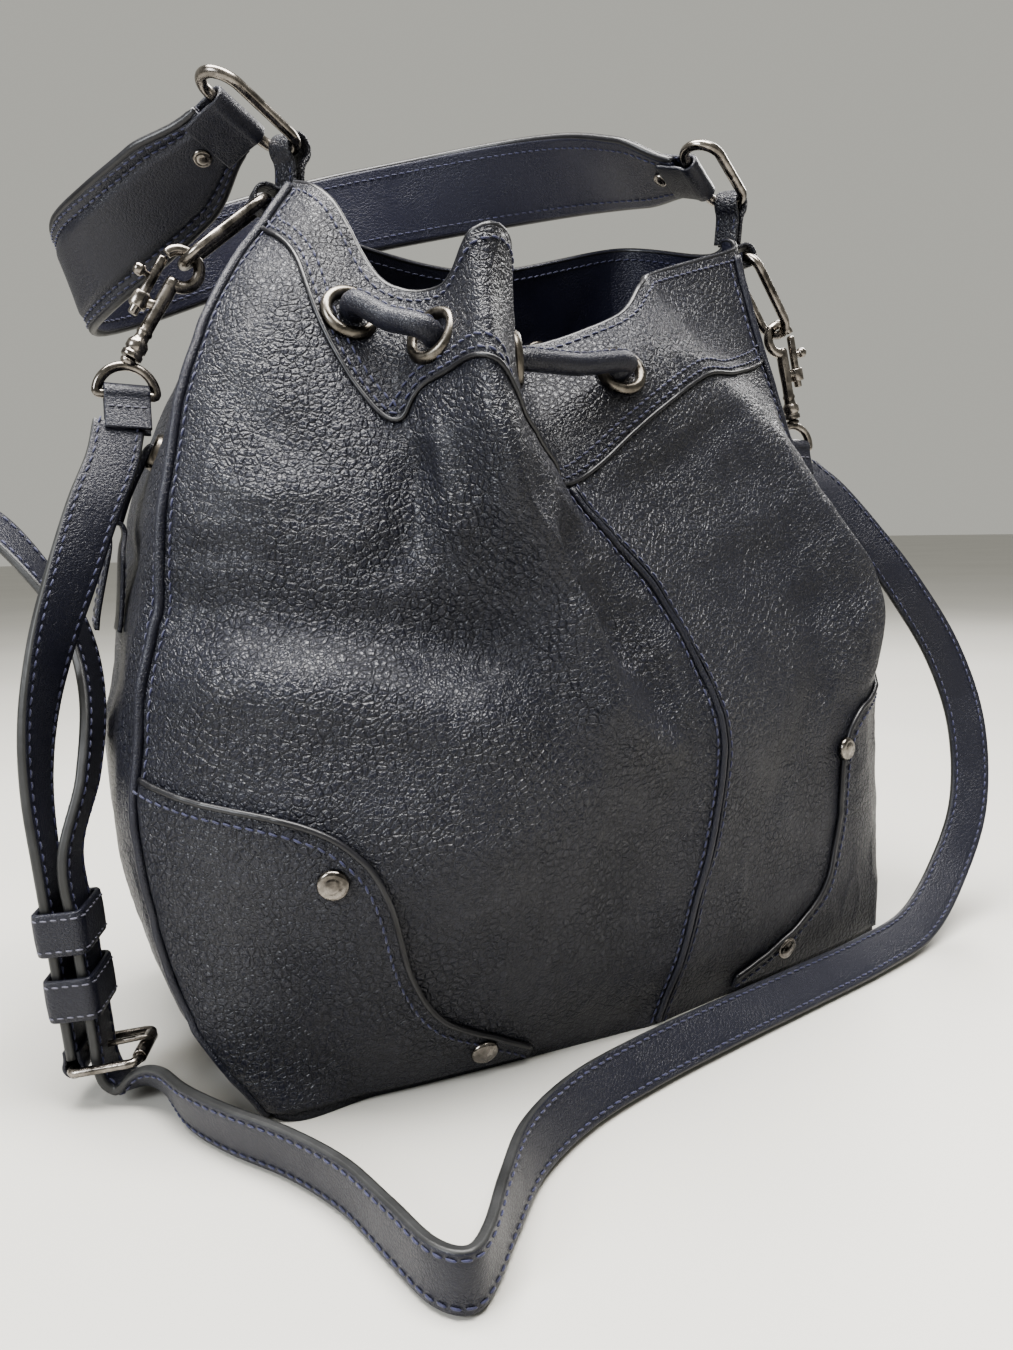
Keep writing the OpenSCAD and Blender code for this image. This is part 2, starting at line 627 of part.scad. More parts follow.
// ---------- shoulder strap ----------
eye_play = 0.4;
chape_tail = 12;
LEFT_DROP = unit([-0.3, -0.35, -0.9]);
RIGHT_DROP = unit([0.42, -0.3, -0.86]);
BUCKLE_BAR = [-173, -28, 12];
STACK = unit([0.92, -0.35, 0.12]);
RUN_UP = unit([-0.07, -0.02, 0.99]);
STRAP_FLAT = unit([0.35, 0.93, 0.03]);
long_offset = 7;
function short_line(s) = BUCKLE_BAR + s * RUN_UP;
function long_line(s) = BUCKLE_BAR + long_offset * STACK + s * RUN_UP;

SHORT_STRAP = [
    [short_line(5), STRAP_FLAT],
    [short_line(20), STRAP_FLAT],
    [short_line(40), STRAP_FLAT],
    [short_line(62), STRAP_FLAT],
    [[-178, -27, 94], [0.45, 0.88, 0]],
    [[-176, -26.5, 114], [0.6, 0.78, 0]],
    [[-171, -24.5, 134], [0.75, 0.6, 0]],
    [[-164, -19.5, 153], [0.88, 0.4, -0.05]],
    [[-156.5, -13.5, 172], [0.95, 0.2, -0.1]],
    [[-150, -8, 186], [1, 0.05, -0.1]],
    [LEFT_EYE_BAR + chape_tail * LEFT_DROP, STRAP_AXIS]
];

LONG_STRAP = [
    [[-203, 30, 176], [0.5, 0.75, 0.5]],
    [[-194.8, 20.7, 175], [0.45, 0.8, 0.4]],
    [[-184, 13.5, 168], [0.4, 0.85, 0.3]],
    [[-173.5, 5.5, 155], [0.35, 0.9, 0.2]],
    [[-164, -2.5, 138], [0.35, 0.92, 0.1]],
    [[-161, -14, 118], [0.35, 0.93, 0]],
    [[-164.2, -25.2, 96], [0.35, 0.93, 0]],
    [long_line(62), STRAP_FLAT],
    [long_line(40), STRAP_FLAT],
    [long_line(20), STRAP_FLAT],
    [long_line(8), STRAP_FLAT],
    [long_line(-2), STRAP_FLAT],
    [[-164.5, -31.6, 5.6], [0.33, 0.93, -0.05]],
    [[-160, -34.5, 3.9], [0.35, 0.9, -0.15]],
    [[-155, -41, 6.2], [0.35, 0.7, -0.6]],
    [[-151, -51, 8], [0.25, 0.4, -0.88]],
    [[-147, -65, 8.2], [0.15, 0.2, -0.96]],
    [[-139, -80, 8.2], [0.1, 0.15, -0.98]],
    [[-127, -98, 8.2], [0.1, 0.1, -0.98]],
    [[-118, -117, 8.2], [0.05, 0.05, -1]],
    [[-113, -137, 8.2], [0, 0, -1]],
    [[-109, -153, 8.2], [0, 0, -1]],
    [[-103, -159, 8.2], [0, 0, -1]],
    [[-96, -154, 8.2], [0, -0.05, -1]],
    [[-85, -140, 8.2], [0.05, -0.2, -0.97]],
    [[-70, -123, 8], [0.1, -0.35, -0.92]],
    [[-48, -109, 7.5], [0.15, -0.5, -0.85]],
    [[-20, -99, 7], [0.2, -0.6, -0.75]],
    [[14, -90, 6.5], [0.2, -0.7, -0.65]],
    [[52, -81, 6], [0.2, -0.75, -0.6]],
    [[90, -72, 6], [0.3, -0.75, -0.55]],
    [[124, -62, 8], [0.5, -0.7, -0.5]],
    [[152, -51, 22], [0.75, -0.55, -0.35]],
    [[169, -45, 46], [0.85, -0.5, -0.15]],
    [[173, -39, 78], [0.88, -0.48, 0]],
    [[166, -32, 108], [0.9, -0.42, 0.1]],
    [[152, -24, 135], [0.93, -0.35, 0.15]],
    [[138, -16, 157], [0.96, -0.2, 0.1]],
    [[126, -9, 174], [1, -0.1, 0]],
    [RIGHT_EYE_BAR + chape_tail * RIGHT_DROP, STRAP_AXIS]
];

module short_strap() {
    color(navy) strap(SHORT_STRAP, strap_w, -strap_t / 2, strap_t / 2, 3);
}

module long_strap() {
    color(navy) difference() {
        strap(LONG_STRAP, strap_w, -strap_t / 2, strap_t / 2, 3);
        on_buckle() prong_rod(prong_r + 0.7, buckle_l);
    }
}

module strap_chape(bar, along_bar, leave, tail) {
    color(dark_navy) placed(bar, leave, along_bar)
        leather_loop(eye_wire_r + eye_play, 1.6, tail, strap_t, strap_w - 2.8);
}

module left_strap_chape() {
    strap_chape(LEFT_EYE_BAR, STRAP_AXIS, LEFT_DROP, chape_tail);
}

module right_strap_chape() {
    strap_chape(RIGHT_EYE_BAR, STRAP_AXIS, RIGHT_DROP, chape_tail);
}

module buckle_chape() {
    difference() {
        strap_chape(BUCKLE_BAR, STRAP_FLAT, RUN_UP, 5);
        color(dark_navy) on_buckle() translate([-5, -prong_w / 2 - 0.4, -6]) cube([11, prong_w + 0.8, 9.2]);
    }
}

// Stitched leather ring round both layers of strap
keeper_wall = 1.6;
module keeper(s) {
    middle = (short_line(s) + long_line(s)) / 2;
    color(dark_navy) placed(middle, STACK, RUN_UP) linear_extrude(keeper_h, center = true) difference() {
        square([long_offset + strap_t + 1.2 + 2 * keeper_wall, strap_w + 1 + 2 * keeper_wall], center = true);
        square([long_offset + strap_t + 1.2, strap_w + 1], center = true);
    }
}

module lower_keeper() {
    keeper(22);
}

module upper_keeper() {
    keeper(42);
}

buckle_wire_r = 1.4;
buckle_l = 19;
buckle_half_w = 9.5;
module buckle_frame() {
    color(nickel) on_buckle() {
        for (x = [0, buckle_l]) translate([x, 0, 0]) rotate([90, 0, 0])
            cylinder(r = buckle_wire_r, h = 2 * buckle_half_w, center = true);
        for (y = [-1, 1]) translate([0, y * buckle_half_w, 0]) rotate([0, 90, 0])
            cylinder(r = buckle_wire_r, h = buckle_l);
        for (x = [0, buckle_l], y = [-1, 1]) translate([x, y * buckle_half_w, 0]) sphere(r = buckle_wire_r);
    }
}

// Prong that turns on the fixed bar and lies over the free one
prong_r = 0.9;
prong_w = 2.2;
module on_buckle() {
    placed(BUCKLE_BAR, STACK, cross(STACK, STRAP_FLAT)) children();
}

module prong_rod(r, reach) {
    translate([0, 0, buckle_wire_r + 0.8]) rotate([0, 88, 0]) cylinder(r = r, h = reach);
}

module buckle_prong() {
    color(nickel) on_buckle() difference() {
        union() {
            rotate([90, 0, 0]) cylinder(r = buckle_wire_r + 1.2, h = prong_w, center = true);
            prong_rod(prong_r, buckle_l + 1.5);
        }
        rotate([90, 0, 0]) cylinder(r = buckle_wire_r + 0.05, h = prong_w + 1, center = true);
    }
}

front_left_panel();
front_right_panel();
back_left_panel();
back_right_panel();
front_facing();
back_facing();
left_gusset();
right_gusset();
base_panel();
base_board();
lining();
front_left_patch();
front_right_patch();
back_left_patch();
back_right_patch();
patch_rivets();
front_left_piping();
front_right_piping();
back_left_piping();
back_right_piping();
eyelets();
front_drawstring();
back_drawstring();
left_cord_tab();
right_cord_tab();
left_tab();
right_tab();
tab_rivets();
left_tab_loop();
right_tab_loop();
left_handle_ring();
right_handle_ring();
handle_outer();
handle_inner();
left_handle_chape();
right_handle_chape();
handle_rivets();
left_strap_ring();
right_strap_ring();
left_hook();
right_hook();
left_bolt();
right_bolt();
left_eye();
right_eye();
short_strap();
long_strap();
left_strap_chape();
right_strap_chape();
buckle_chape();
lower_keeper();
upper_keeper();
buckle_frame();
buckle_prong();
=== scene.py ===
"""Soft bucket bag in pebbled navy leather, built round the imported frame. Lengths in mm until a mesh is made."""
import math

import bmesh
import bpy
import numpy as np
from mathutils import Matrix, Vector


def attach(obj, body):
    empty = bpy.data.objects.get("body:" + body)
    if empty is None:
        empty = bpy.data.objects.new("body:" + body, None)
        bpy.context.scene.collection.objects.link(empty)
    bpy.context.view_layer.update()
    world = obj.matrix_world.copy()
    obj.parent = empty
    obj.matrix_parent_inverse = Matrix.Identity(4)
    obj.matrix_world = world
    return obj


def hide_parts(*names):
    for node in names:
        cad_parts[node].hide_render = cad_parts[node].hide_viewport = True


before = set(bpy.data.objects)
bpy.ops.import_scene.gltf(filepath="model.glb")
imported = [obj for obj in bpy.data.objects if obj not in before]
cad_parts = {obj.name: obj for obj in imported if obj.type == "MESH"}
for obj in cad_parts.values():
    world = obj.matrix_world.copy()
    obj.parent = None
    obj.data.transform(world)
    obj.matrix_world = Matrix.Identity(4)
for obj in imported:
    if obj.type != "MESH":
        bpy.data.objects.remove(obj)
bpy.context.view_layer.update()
A = np.array


# ---------- camera, at the photograph's viewing angle ----------
def make_camera():
    yaw, pitch, roll = (math.radians(a) for a in (24.4, 8.0, -1.6))
    fwd = Vector((math.sin(yaw) * math.cos(pitch), math.cos(yaw) * math.cos(pitch), -math.sin(pitch)))
    right = Vector((math.cos(yaw), -math.sin(yaw), 0))
    up = right.cross(fwd)
    x = right * math.cos(roll) + up * math.sin(roll)
    y = up * math.cos(roll) - right * math.sin(roll)
    data = bpy.data.cameras.new("camera")
    data.sensor_width = 36
    data.lens = 27.04
    data.clip_start = 0.01
    cam = bpy.data.objects.new("camera", data)
    turn = Matrix((x, y, -fwd)).transposed().to_4x4()
    cam.matrix_world = Matrix.Translation((-0.172, -0.338, 0.162)) @ turn
    bpy.context.collection.objects.link(cam)
    bpy.context.scene.camera = cam


make_camera()


# ---------- materials ----------
class Nodes:
    """A short way to write shader nodes."""

    def __init__(self, name, color, rough, metal=0.0, spec=0.5):
        self.mat = bpy.data.materials.new(name)
        self.mat.use_nodes = True
        self.tree = self.mat.node_tree
        self.shader = self.tree.nodes["Principled BSDF"]
        self.set(self.shader, "Base Color", (*color, 1))
        self.set(self.shader, "Roughness", rough)
        self.set(self.shader, "Metallic", metal)
        self.set(self.shader, "Specular IOR Level", spec)
        self.coords = self.tree.nodes.new("ShaderNodeTexCoord").outputs["Object"]

    def set(self, node, socket, value):
        node.inputs[socket].default_value = value

    def add(self, kind, links=(), **props):
        node = self.tree.nodes.new("ShaderNode" + kind)
        for key, value in props.items():
            setattr(node, key, value)
        for socket, value in dict(links).items():
            if isinstance(value, bpy.types.NodeSocket):
                self.tree.links.new(value, node.inputs[socket])
            else:
                node.inputs[socket].default_value = value
        return node

    def noise(self, scale, detail=3.0, rough=0.5, coords=None):
        links = {"Vector": coords or self.coords, "Scale": scale, "Detail": detail, "Roughness": rough}
        return self.add("TexNoise", links)

    def ramp(self, value, stops):
        node = self.add("ValToRGB", {"Fac": value})
        ramp = node.color_ramp
        while len(ramp.elements) < len(stops):
            ramp.elements.new(0.5)
        for element, (at, color) in zip(ramp.elements, stops):
            element.position = at
            element.color = (*color, 1) if len(color) == 3 else color
        return node.outputs["Color"]

    def math(self, op, a, b=0.0):
        node = self.add("Math", {0: a, 1: b}, operation=op)
        return node.outputs[0]

    def warped(self, scale, amount):
        """Object coordinates pushed about by noise."""
        noise = self.noise(scale, 2.0)
        shift = self.add("VectorMath", {0: noise.outputs["Color"], 1: (0.5, 0.5, 0.5)}, operation="SUBTRACT")
        sized = self.add("VectorMath", {0: shift.outputs[0]}, operation="SCALE")
        sized.inputs["Scale"].default_value = amount
        return self.add("VectorMath", {0: self.coords, 1: sized.outputs[0]}).outputs[0]

    def cells(self, coords, scale, randomness, steep):
        """Flat-topped cells split by narrow grooves, 0 in a groove and 1 on a cell."""
        cell = self.add("TexVoronoi", {"Vector": coords, "Scale": scale, "Randomness": randomness},
                        feature="DISTANCE_TO_EDGE")
        return self.math("MINIMUM", self.math("MULTIPLY", cell.outputs["Distance"], steep), 1.0)

    def mottle(self, value, low, high, stops):
        """The base colour from low to high between two stops of a value."""
        self.use("Base Color", self.ramp(value, [(stops[0], low), (stops[1], high)]))

    def roughness(self, value, low, high, stops):
        self.use("Roughness", self.ramp(value, [(stops[0], (low,) * 3), (stops[1], (high,) * 3)]))

    def bump(self, height, distance, strength=1.0, before=None):
        links = {"Height": height, "Distance": distance, "Strength": strength}
        if before is not None:
            links["Normal"] = before
        return self.add("Bump", links).outputs["Normal"]

    def use(self, socket, value):
        self.tree.links.new(value, self.shader.inputs[socket])


def leather(name, low, high, cell, depth, rough, sheen=0.02, crease=1.0):
    """Tumbled leather: pebbles of about `cell` mm split by fine creases, with longer wrinkles across them."""
    n = Nodes(name, high, rough)
    coords = n.warped(900 / cell, 0.0009)
    round_pebble = n.math("POWER", n.cells(coords, 1000 / cell, 0.95, 5.0), 0.8)
    round_small = n.math("POWER", n.cells(coords, 2100 / cell, 1.0, 5.0), 0.8)
    area = n.noise(55, 3.0)
    where = n.ramp(area.outputs["Fac"], [(0.38, (0.35, 0.35, 0.35)), (0.62, (1, 1, 1))])
    grain = n.math("ADD", n.math("MULTIPLY", round_pebble, where), n.math("MULTIPLY", round_small, 0.3))
    long_wrinkle = n.cells(n.warped(120, 0.008), 120, 1.0, 9.0)
    first = n.bump(long_wrinkle, 0.00022 * crease, 0.45)
    n.use("Normal", n.bump(grain, depth / 1000, 1.0, first))
    wear = n.noise(14, 4.0, 0.6)
    # Base colour: painted shade, darker in the grooves between pebbles, mixed with random wear patches that are the
    # leather's own tone
    crease_shade_and_wear = n.math("MULTIPLY", n.math("ADD", round_pebble, n.math("MULTIPLY", wear.outputs["Fac"], 0.8)), 0.55)
    n.mottle(crease_shade_and_wear, low, high, (0.1, 0.95))
    worn = n.math("ADD", n.math("MULTIPLY", round_pebble, -0.35), wear.outputs["Fac"])
    n.roughness(worn, rough - 0.08, rough + 0.12, (0.0, 0.9))
    n.set(n.shader, "Sheen Weight", sheen)
    n.set(n.shader, "Sheen Roughness", 0.5)
    n.set(n.shader, "Coat Weight", 0.05)
    n.set(n.shader, "Specular IOR Level", 0.42)
    n.set(n.shader, "Coat Roughness", 0.3)
    return n.mat


def thread(name, color):
    n = Nodes(name, color, 0.62)
    n.use("Normal", n.bump(n.noise(2600, 2.0).outputs["Fac"], 0.0001, 0.6))
    dark, light = ([c * k for c in color] for k in (0.7, 1.35))
    n.mottle(n.noise(700).outputs["Fac"], dark, light, (0.3, 0.7))
    n.set(n.shader, "Sheen Weight", 0.25)
    return n.mat


def edge_paint(name, color, rough=0.36):
    n = Nodes(name, color, rough)
    n.use("Normal", n.bump(n.noise(420, 4.0).outputs["Fac"], 0.00018, 0.7))
    n.mottle(n.noise(90, 4.0).outputs["Fac"], color, [c * 1.8 + 0.004 for c in color], (0.35, 0.75))
    return n.mat


def metal(name, dark, light, rough):
    n = Nodes(name, light, rough, 1.0)
    n.mottle(n.noise(160, 5.0, 0.65).outputs["Fac"], dark, light, (0.32, 0.6))
    n.roughness(n.noise(320, 4.0).outputs["Fac"], rough - 0.08, rough + 0.14, (0.3, 0.75))
    n.use("Normal", n.bump(n.noise(900, 3.0).outputs["Fac"], 0.00006, 0.5))
    return n.mat


def cloth(name, low, high):
    n = Nodes(name, high, 0.85)
    links = {"Vector": n.coords, "Scale": 420.0, "Distortion": 1.2, "Detail": 2.0}
    weave = n.add("TexWave", links, bands_direction="DIAGONAL").outputs["Fac"]
    n.use("Normal", n.bump(weave, 0.00016, 0.8))
    blotch = n.math("MULTIPLY", n.noise(30).outputs["Fac"], 0.6)
    n.mottle(n.math("ADD", n.math("MULTIPLY", weave, 0.4), blotch), low, high, (0.2, 0.8))
    n.set(n.shader, "Sheen Weight", 0.3)
    return n.mat


def plain(name, low, high, rough, scale):
    n = Nodes(name, high, rough)
    n.mottle(n.noise(scale, 3.0).outputs["Fac"], low, high, (0.3, 0.7))
    return n.mat


PEBBLED = leather("pebbled_leather", (0.004, 0.0045, 0.009), (0.011, 0.012, 0.021), 2.3, 0.46, 0.37, crease=0.6)
TRIM = leather("trim_leather", (0.004, 0.004, 0.008), (0.010, 0.011, 0.019), 2.1, 0.40, 0.38, crease=0.5)
SMOOTH = leather("smooth_leather", (0.005, 0.0055, 0.012), (0.010, 0.011, 0.021), 1.1, 0.12, 0.36, crease=0.15)
INSIDE = leather("inner_leather", (0.006, 0.0065, 0.018), (0.011, 0.012, 0.030), 1.3, 0.12, 0.42, crease=0.2)
THREAD = thread("navy_thread", (0.016, 0.018, 0.055))
PALE_THREAD = thread("grey_thread", (0.09, 0.09, 0.12))
EDGE = edge_paint("edge_paint", (0.006, 0.006, 0.008))
STRAP_EDGE = edge_paint("strap_edge_paint", (0.016, 0.0165, 0.017), 0.45)
NICKEL = metal("dark_nickel", (0.07, 0.064, 0.058), (0.30, 0.275, 0.25), 0.22)
BRONZE = metal("antique_nickel", (0.045, 0.040, 0.034), (0.17, 0.155, 0.135), 0.30)
CLOTH = cloth("lining_cloth", (0.012, 0.014, 0.040), (0.03, 0.036, 0.09))
BOARD = plain("board", (0.07, 0.06, 0.05), (0.13, 0.11, 0.09), 0.8, 60)


# ---------- shape of the body: ribs from the base up to the rim, anticlockwise from the front left seam ----------
RIBS = A([
    [[-125, -66, 0], [-143, -52, 30], [-153, -48, 80], [-147, -44, 130],
     [-138, -40, 178], [-121, -30, 228], [-90, -10, 272]],
    [[-95, -69, 0], [-108, -76, 30], [-118, -84, 82], [-118, -72, 132],
     [-114, -62, 178], [-105, -48, 226], [-84, -28, 262]],
    [[-62, -70, 0], [-66, -82, 30], [-70, -96, 80], [-72, -84, 134],
     [-80, -74, 172], [-82, -56, 214], [-75, -44, 236]],
    [[-40, -70, 0], [-42, -82, 30], [-42, -94, 84], [-52, -88, 140],
     [-66, -86, 170], [-72, -76, 200], [-64, -62, 231]],
    [[-22, -70, 0], [-24, -80, 30], [-20, -90, 88], [-36, -96, 146],
     [-56, -98, 176], [-62, -94, 204], [-62, -81, 241]],
    [[-10, -70, 0], [-6, -78, 30], [0, -84, 90], [-20, -80, 140],
     [-34, -80, 172], [-46, -74, 200], [-49, -77, 241]],
    [[0, -70, 0], [8, -77, 34], [18, -82, 95], [0, -74, 140],
     [-24, -68, 170], [-32, -52, 196], [-30, -34, 222]],
    [[30, -64, 0], [38, -72, 36], [46, -74, 92], [36, -62, 140],
     [16, -56, 170], [2, -52, 206], [8, -34, 232]],
    [[70, -57, 0], [72, -62, 36], [76, -62, 92], [76, -52, 140],
     [60, -46, 176], [36, -42, 216], [24, -28, 246]],
    [[110, -48, 0], [108, -50, 40], [105, -52, 90], [112, -52, 136],
     [88, -44, 176], [60, -32, 216], [34, -20, 252]],
    [[118, -42, 0], [124, -36, 40], [126, -30, 90], [116, -30, 136],
     [98, -24, 176], [86, -16, 220], [76, -9, 266]],
    [[124, 0, 0], [136, 0, 40], [136, 4, 90], [120, 4, 136],
     [99, 2, 180], [87, 0, 226], [80, 0, 272]],
    [[124, 60, 0], [132, 50, 40], [134, 46, 90], [122, 42, 136],
     [104, 34, 180], [90, 22, 228], [77, 8, 268]],
    [[60, 70, 0], [64, 76, 40], [66, 80, 90], [66, 76, 136],
     [62, 70, 180], [60, 60, 226], [58, 46, 278]],
    [[0, 70, 0], [0, 78, 40], [0, 84, 90], [0, 80, 136],
     [0, 72, 180], [0, 60, 224], [-4, 44, 264]],
    [[-60, 70, 0], [-66, 78, 40], [-70, 82, 90], [-68, 78, 136],
     [-64, 68, 180], [-58, 54, 226], [-54, 34, 266]],
    [[-125, 62, 0], [-138, 52, 30], [-146, 50, 80], [-142, 44, 130],
     [-134, 38, 178], [-114, 26, 228], [-90, 9, 270]],
    [[-125, 0, 0], [-146, 0, 30], [-157, 2, 85], [-150, 2, 130],
     [-140, 2, 178], [-114, 0, 230], [-89, 0, 272]],
], float)
N_RIBS = len(RIBS)
TOP = 6
FRONT_LEFT, FRONT_SEAM, FRONT_RIGHT, BACK_RIGHT, BACK_SEAM, BACK_LEFT = 0, 6, 10, 12, 14, 16
LONG_RIBS = np.concatenate([2 * RIBS[:, :1] - RIBS[:, 1:2], RIBS, 2 * RIBS[:, -1:] - RIBS[:, -2:-1]], 1)
FRONT_SEAM_LEVELS = A([5.6, 5.35, 4.5, 5.1, 5.05, 4.4, 4.2, 4.65, 4.9, 5.0, 5.1])


def unit(v):
    v = np.asarray(v, float)
    return v / np.maximum(np.linalg.norm(v, axis=-1, keepdims=True), 1e-9)


def between(a, b, c, d, t):
    return 0.5 * (2 * b + (c - a) * t + (2 * a - 5 * b + 4 * c - d) * t**2 + (3 * b - a - 3 * c + d) * t**3)


def along(points, s):
    """Points at places s, counted in points, on the Catmull-Rom curve through a list."""
    p = np.asarray(points, float)
    if p.ndim == 1:
        return along(p[:, None], s)[..., 0]
    p = np.concatenate([2 * p[:1] - p[1:2], p, 2 * p[-1:] - p[-2:-1]])
    s = np.atleast_1d(np.asarray(s, float))
    i = np.clip(np.floor(s).astype(int), 0, len(p) - 4)
    t = (s - i)[:, None]
    return between(p[i], p[i + 1], p[i + 2], p[i + 3], t)


def skin(u, v):
    """Points of the body at ribs u and levels v."""
    u, v = np.broadcast_arrays(np.asarray(u, float), np.asarray(v, float))
    shape = u.shape
    u, v = u.ravel(), v.ravel()
    i = np.floor(u).astype(int)
    j = np.clip(np.floor(v).astype(int), 0, TOP - 1)
    t, s = (u - i)[:, None], (v - j)[:, None]
    ribs = [(i + k) % N_RIBS for k in (-1, 0, 1, 2)]
    p = [between(*(LONG_RIBS[r, j + k] for k in range(4)), s) for r in ribs]
    return between(*p, t).reshape(*shape, 3)


def skin_frame(u, v, e=0.04):
    """Steps along u and v, in mm for each unit, and the outward normal."""
    pu = (skin(u + e, v) - skin(u - e, v)) / (2 * e)
    hi, lo = np.minimum(v + e, TOP), np.maximum(v - e, 0)
    pv = (skin(u, hi) - skin(u, lo)) / (hi - lo)[..., None]
    return pu, pv, unit(np.cross(pu, pv))


def lattice(points, size, seed):
    """Smooth value noise, -1 to 1, with lumps of about `size` mm."""
    q = points / size + seed
    i = np.floor(q)
    f = q - i
    f = f * f * (3 - 2 * f)
    total = 0
    for dx in (0, 1):
        for dy in (0, 1):
            for dz in (0, 1):
                k = (i[..., 0] + dx) * 127.1 + (i[..., 1] + dy) * 311.7 + (i[..., 2] + dz) * 74.7 + seed * 17.3
                h = np.mod(np.sin(k) * 43758.5453, 1.0)
                w = np.abs(1 - dx - f[..., 0]) * np.abs(1 - dy - f[..., 1]) * np.abs(1 - dz - f[..., 2])
                total = total + h * w
    return 2 * total - 1


# Folds of the soft leather: places along the fold, its half width and its height, below zero for a valley
FOLDS = [
    ([(-0.3, 3.35), (0.4, 3.3), (1.25, 3.2), (2.2, 2.95), (3.1, 2.6)], 11, -5.5),
    ([(-0.2, 3.6), (0.6, 3.6), (1.4, 3.5), (2.1, 3.55)], 5, -1.6),
    ([(0.1, 2.9), (0.9, 2.8), (1.8, 2.65), (2.8, 2.3)], 11, 3.4),
    ([(2.4, 4.5), (2.1, 4.1), (1.85, 3.7), (1.5, 3.4)], 6, -3.4),
    ([(3.0, 4.9), (2.8, 4.4), (2.6, 3.9), (2.4, 3.4)], 6, 2.4),
    ([(4.35, 4.3), (4.2, 3.8), (4.0, 3.2), (3.8, 2.8)], 7, -3.2),
    ([(5.0, 3.9), (4.6, 3.4), (4.6, 2.9), (4.9, 2.5)], 9, -6.5),
    ([(3.5, 2.7), (3.9, 2.35), (4.6, 2.15), (5.4, 2.1)], 7, 4.2),
    ([(5.9, 2.9), (5.5, 2.5), (5.3, 2.15)], 5, 1.6),
    ([(3.2, 2.0), (4.0, 1.6), (4.9, 1.2)], 9, -1.6),
    ([(6.4, 4.1), (7.3, 4.35), (8.4, 4.65)], 6, -1.8),
    ([(6.6, 3.7), (7.4, 3.6), (8.3, 3.9)], 8, 1.4),
    ([(8.2, 2.4), (7.4, 1.9), (6.6, 1.35)], 9, -2.0),
    ([(9.3, 3.2), (8.5, 3.0), (7.6, 2.7)], 7, -1.4),
    ([(0.4, 4.6), (0.9, 4.3), (1.5, 4.2)], 6, -1.5),
    ([(0.3, 4.1), (0.9, 3.9), (1.6, 4.0)], 5, 1.2),
    ([(0.5, 1.7), (0.9, 1.3), (1.1, 0.7)], 7, -1.2),
    ([(2.0, 1.9), (2.6, 1.6), (3.0, 1.1)], 7, -1.0),
    ([(12.3, 3.4), (13.1, 3.1), (13.9, 3.2)], 9, -2.4),
    ([(14.4, 3.6), (15.1, 3.2), (15.8, 3.3)], 9, -2.4),
    ([(12.8, 4.7), (13.0, 4.1), (13.3, 3.6)], 5, -1.6),
    ([(15.3, 4.6), (15.0, 4.1), (14.8, 3.7)], 5, -1.6),
    ([(13.6, 2.2), (14.2, 1.9), (14.9, 2.1)], 10, 1.8),
    ([(16.4, 3.7), (17.0, 3.55), (17.6, 3.65)], 7, -2.2),
    ([(16.5, 2.6), (17.0, 2.4), (17.5, 2.6)], 9, 1.6),
    ([(10.4, 3.7), (11.0, 3.5), (11.6, 3.7)], 7, -2.0),
    ([(10.5, 2.3), (11.0, 2.1), (11.6, 2.4)], 9, 1.4),
]
FOLD_LINES = []
for places, width, height in FOLDS:
    s = np.linspace(0, len(places) - 1, 28)
    uv = along(places, s)
    FOLD_LINES.append((skin(uv[:, 0], uv[:, 1]), width, height))


def relief(points, v):
    """Height of the folds and lumps above the plain skin."""
    flat = points.reshape(-1, 3)
    total = np.zeros(len(flat))
    for line, width, height in FOLD_LINES:
        near = np.all((flat > line.min(0) - 3 * width) & (flat < line.max(0) + 3 * width), 1)
        if not near.any():
            continue
        d = np.linalg.norm(flat[near][:, None] - line[None], axis=2)
        k = d.argmin(1)
        s = k / (len(line) - 1)
        ends = np.clip(np.minimum(s, 1 - s) / 0.25, 0.12, 1)
        total[near] += height * ends * np.exp(-(d.min(1) / width) ** 2)
    total += 0.9 * lattice(flat, 34, 3.0) + 0.45 * lattice(flat, 15, 7.0) + 0.16 * lattice(flat, 6, 11.0)
    pinch = lattice(flat * A([1, 1, 0.55]), 9, 19.0)
    total += 0.35 * np.maximum(0, 0.35 - np.abs(pinch)) / 0.35
    v = np.broadcast_to(v, points.shape[:-1]).ravel()
    fade = np.clip(v / 0.5, 0, 1) * np.where(v > 5, np.clip(1.25 - 0.75 * (v - 5), 0.4, 1), 1)
    return (total * fade).reshape(points.shape[:-1])


def on_body(u, v, off=0.0):
    """Points of the folded leather, off mm outside its face."""
    u, v = np.broadcast_arrays(np.asarray(u, float), np.asarray(v, float))
    p = skin(u, v)
    n = skin_frame(u, v)[2]
    return p + n * (np.asarray(off) + relief(p, v))[..., None]


def body_out(u, v):
    return skin_frame(np.asarray(u, float), np.asarray(v, float))[2]


def shifted(uv, mm):
    """A line of places on the body moved sideways over the skin by mm, to the left of its direction."""
    u, v = uv[:, 0], uv[:, 1]
    pu, pv, n = skin_frame(u, v)
    side = unit(np.cross(n, np.gradient(skin(u, v), axis=0))) * np.reshape(mm, (-1, 1))
    uu, uw, ww = (pu * pu).sum(1), (pu * pv).sum(1), (pv * pv).sum(1)
    su, sv = (side * pu).sum(1), (side * pv).sum(1)
    det = uu * ww - uw**2
    du, dv = (su * ww - sv * uw) / det, (sv * uu - su * uw) / det
    return np.stack([u + np.clip(du, -0.6, 0.6), np.clip(v + dv, 0.02, TOP)], 1)


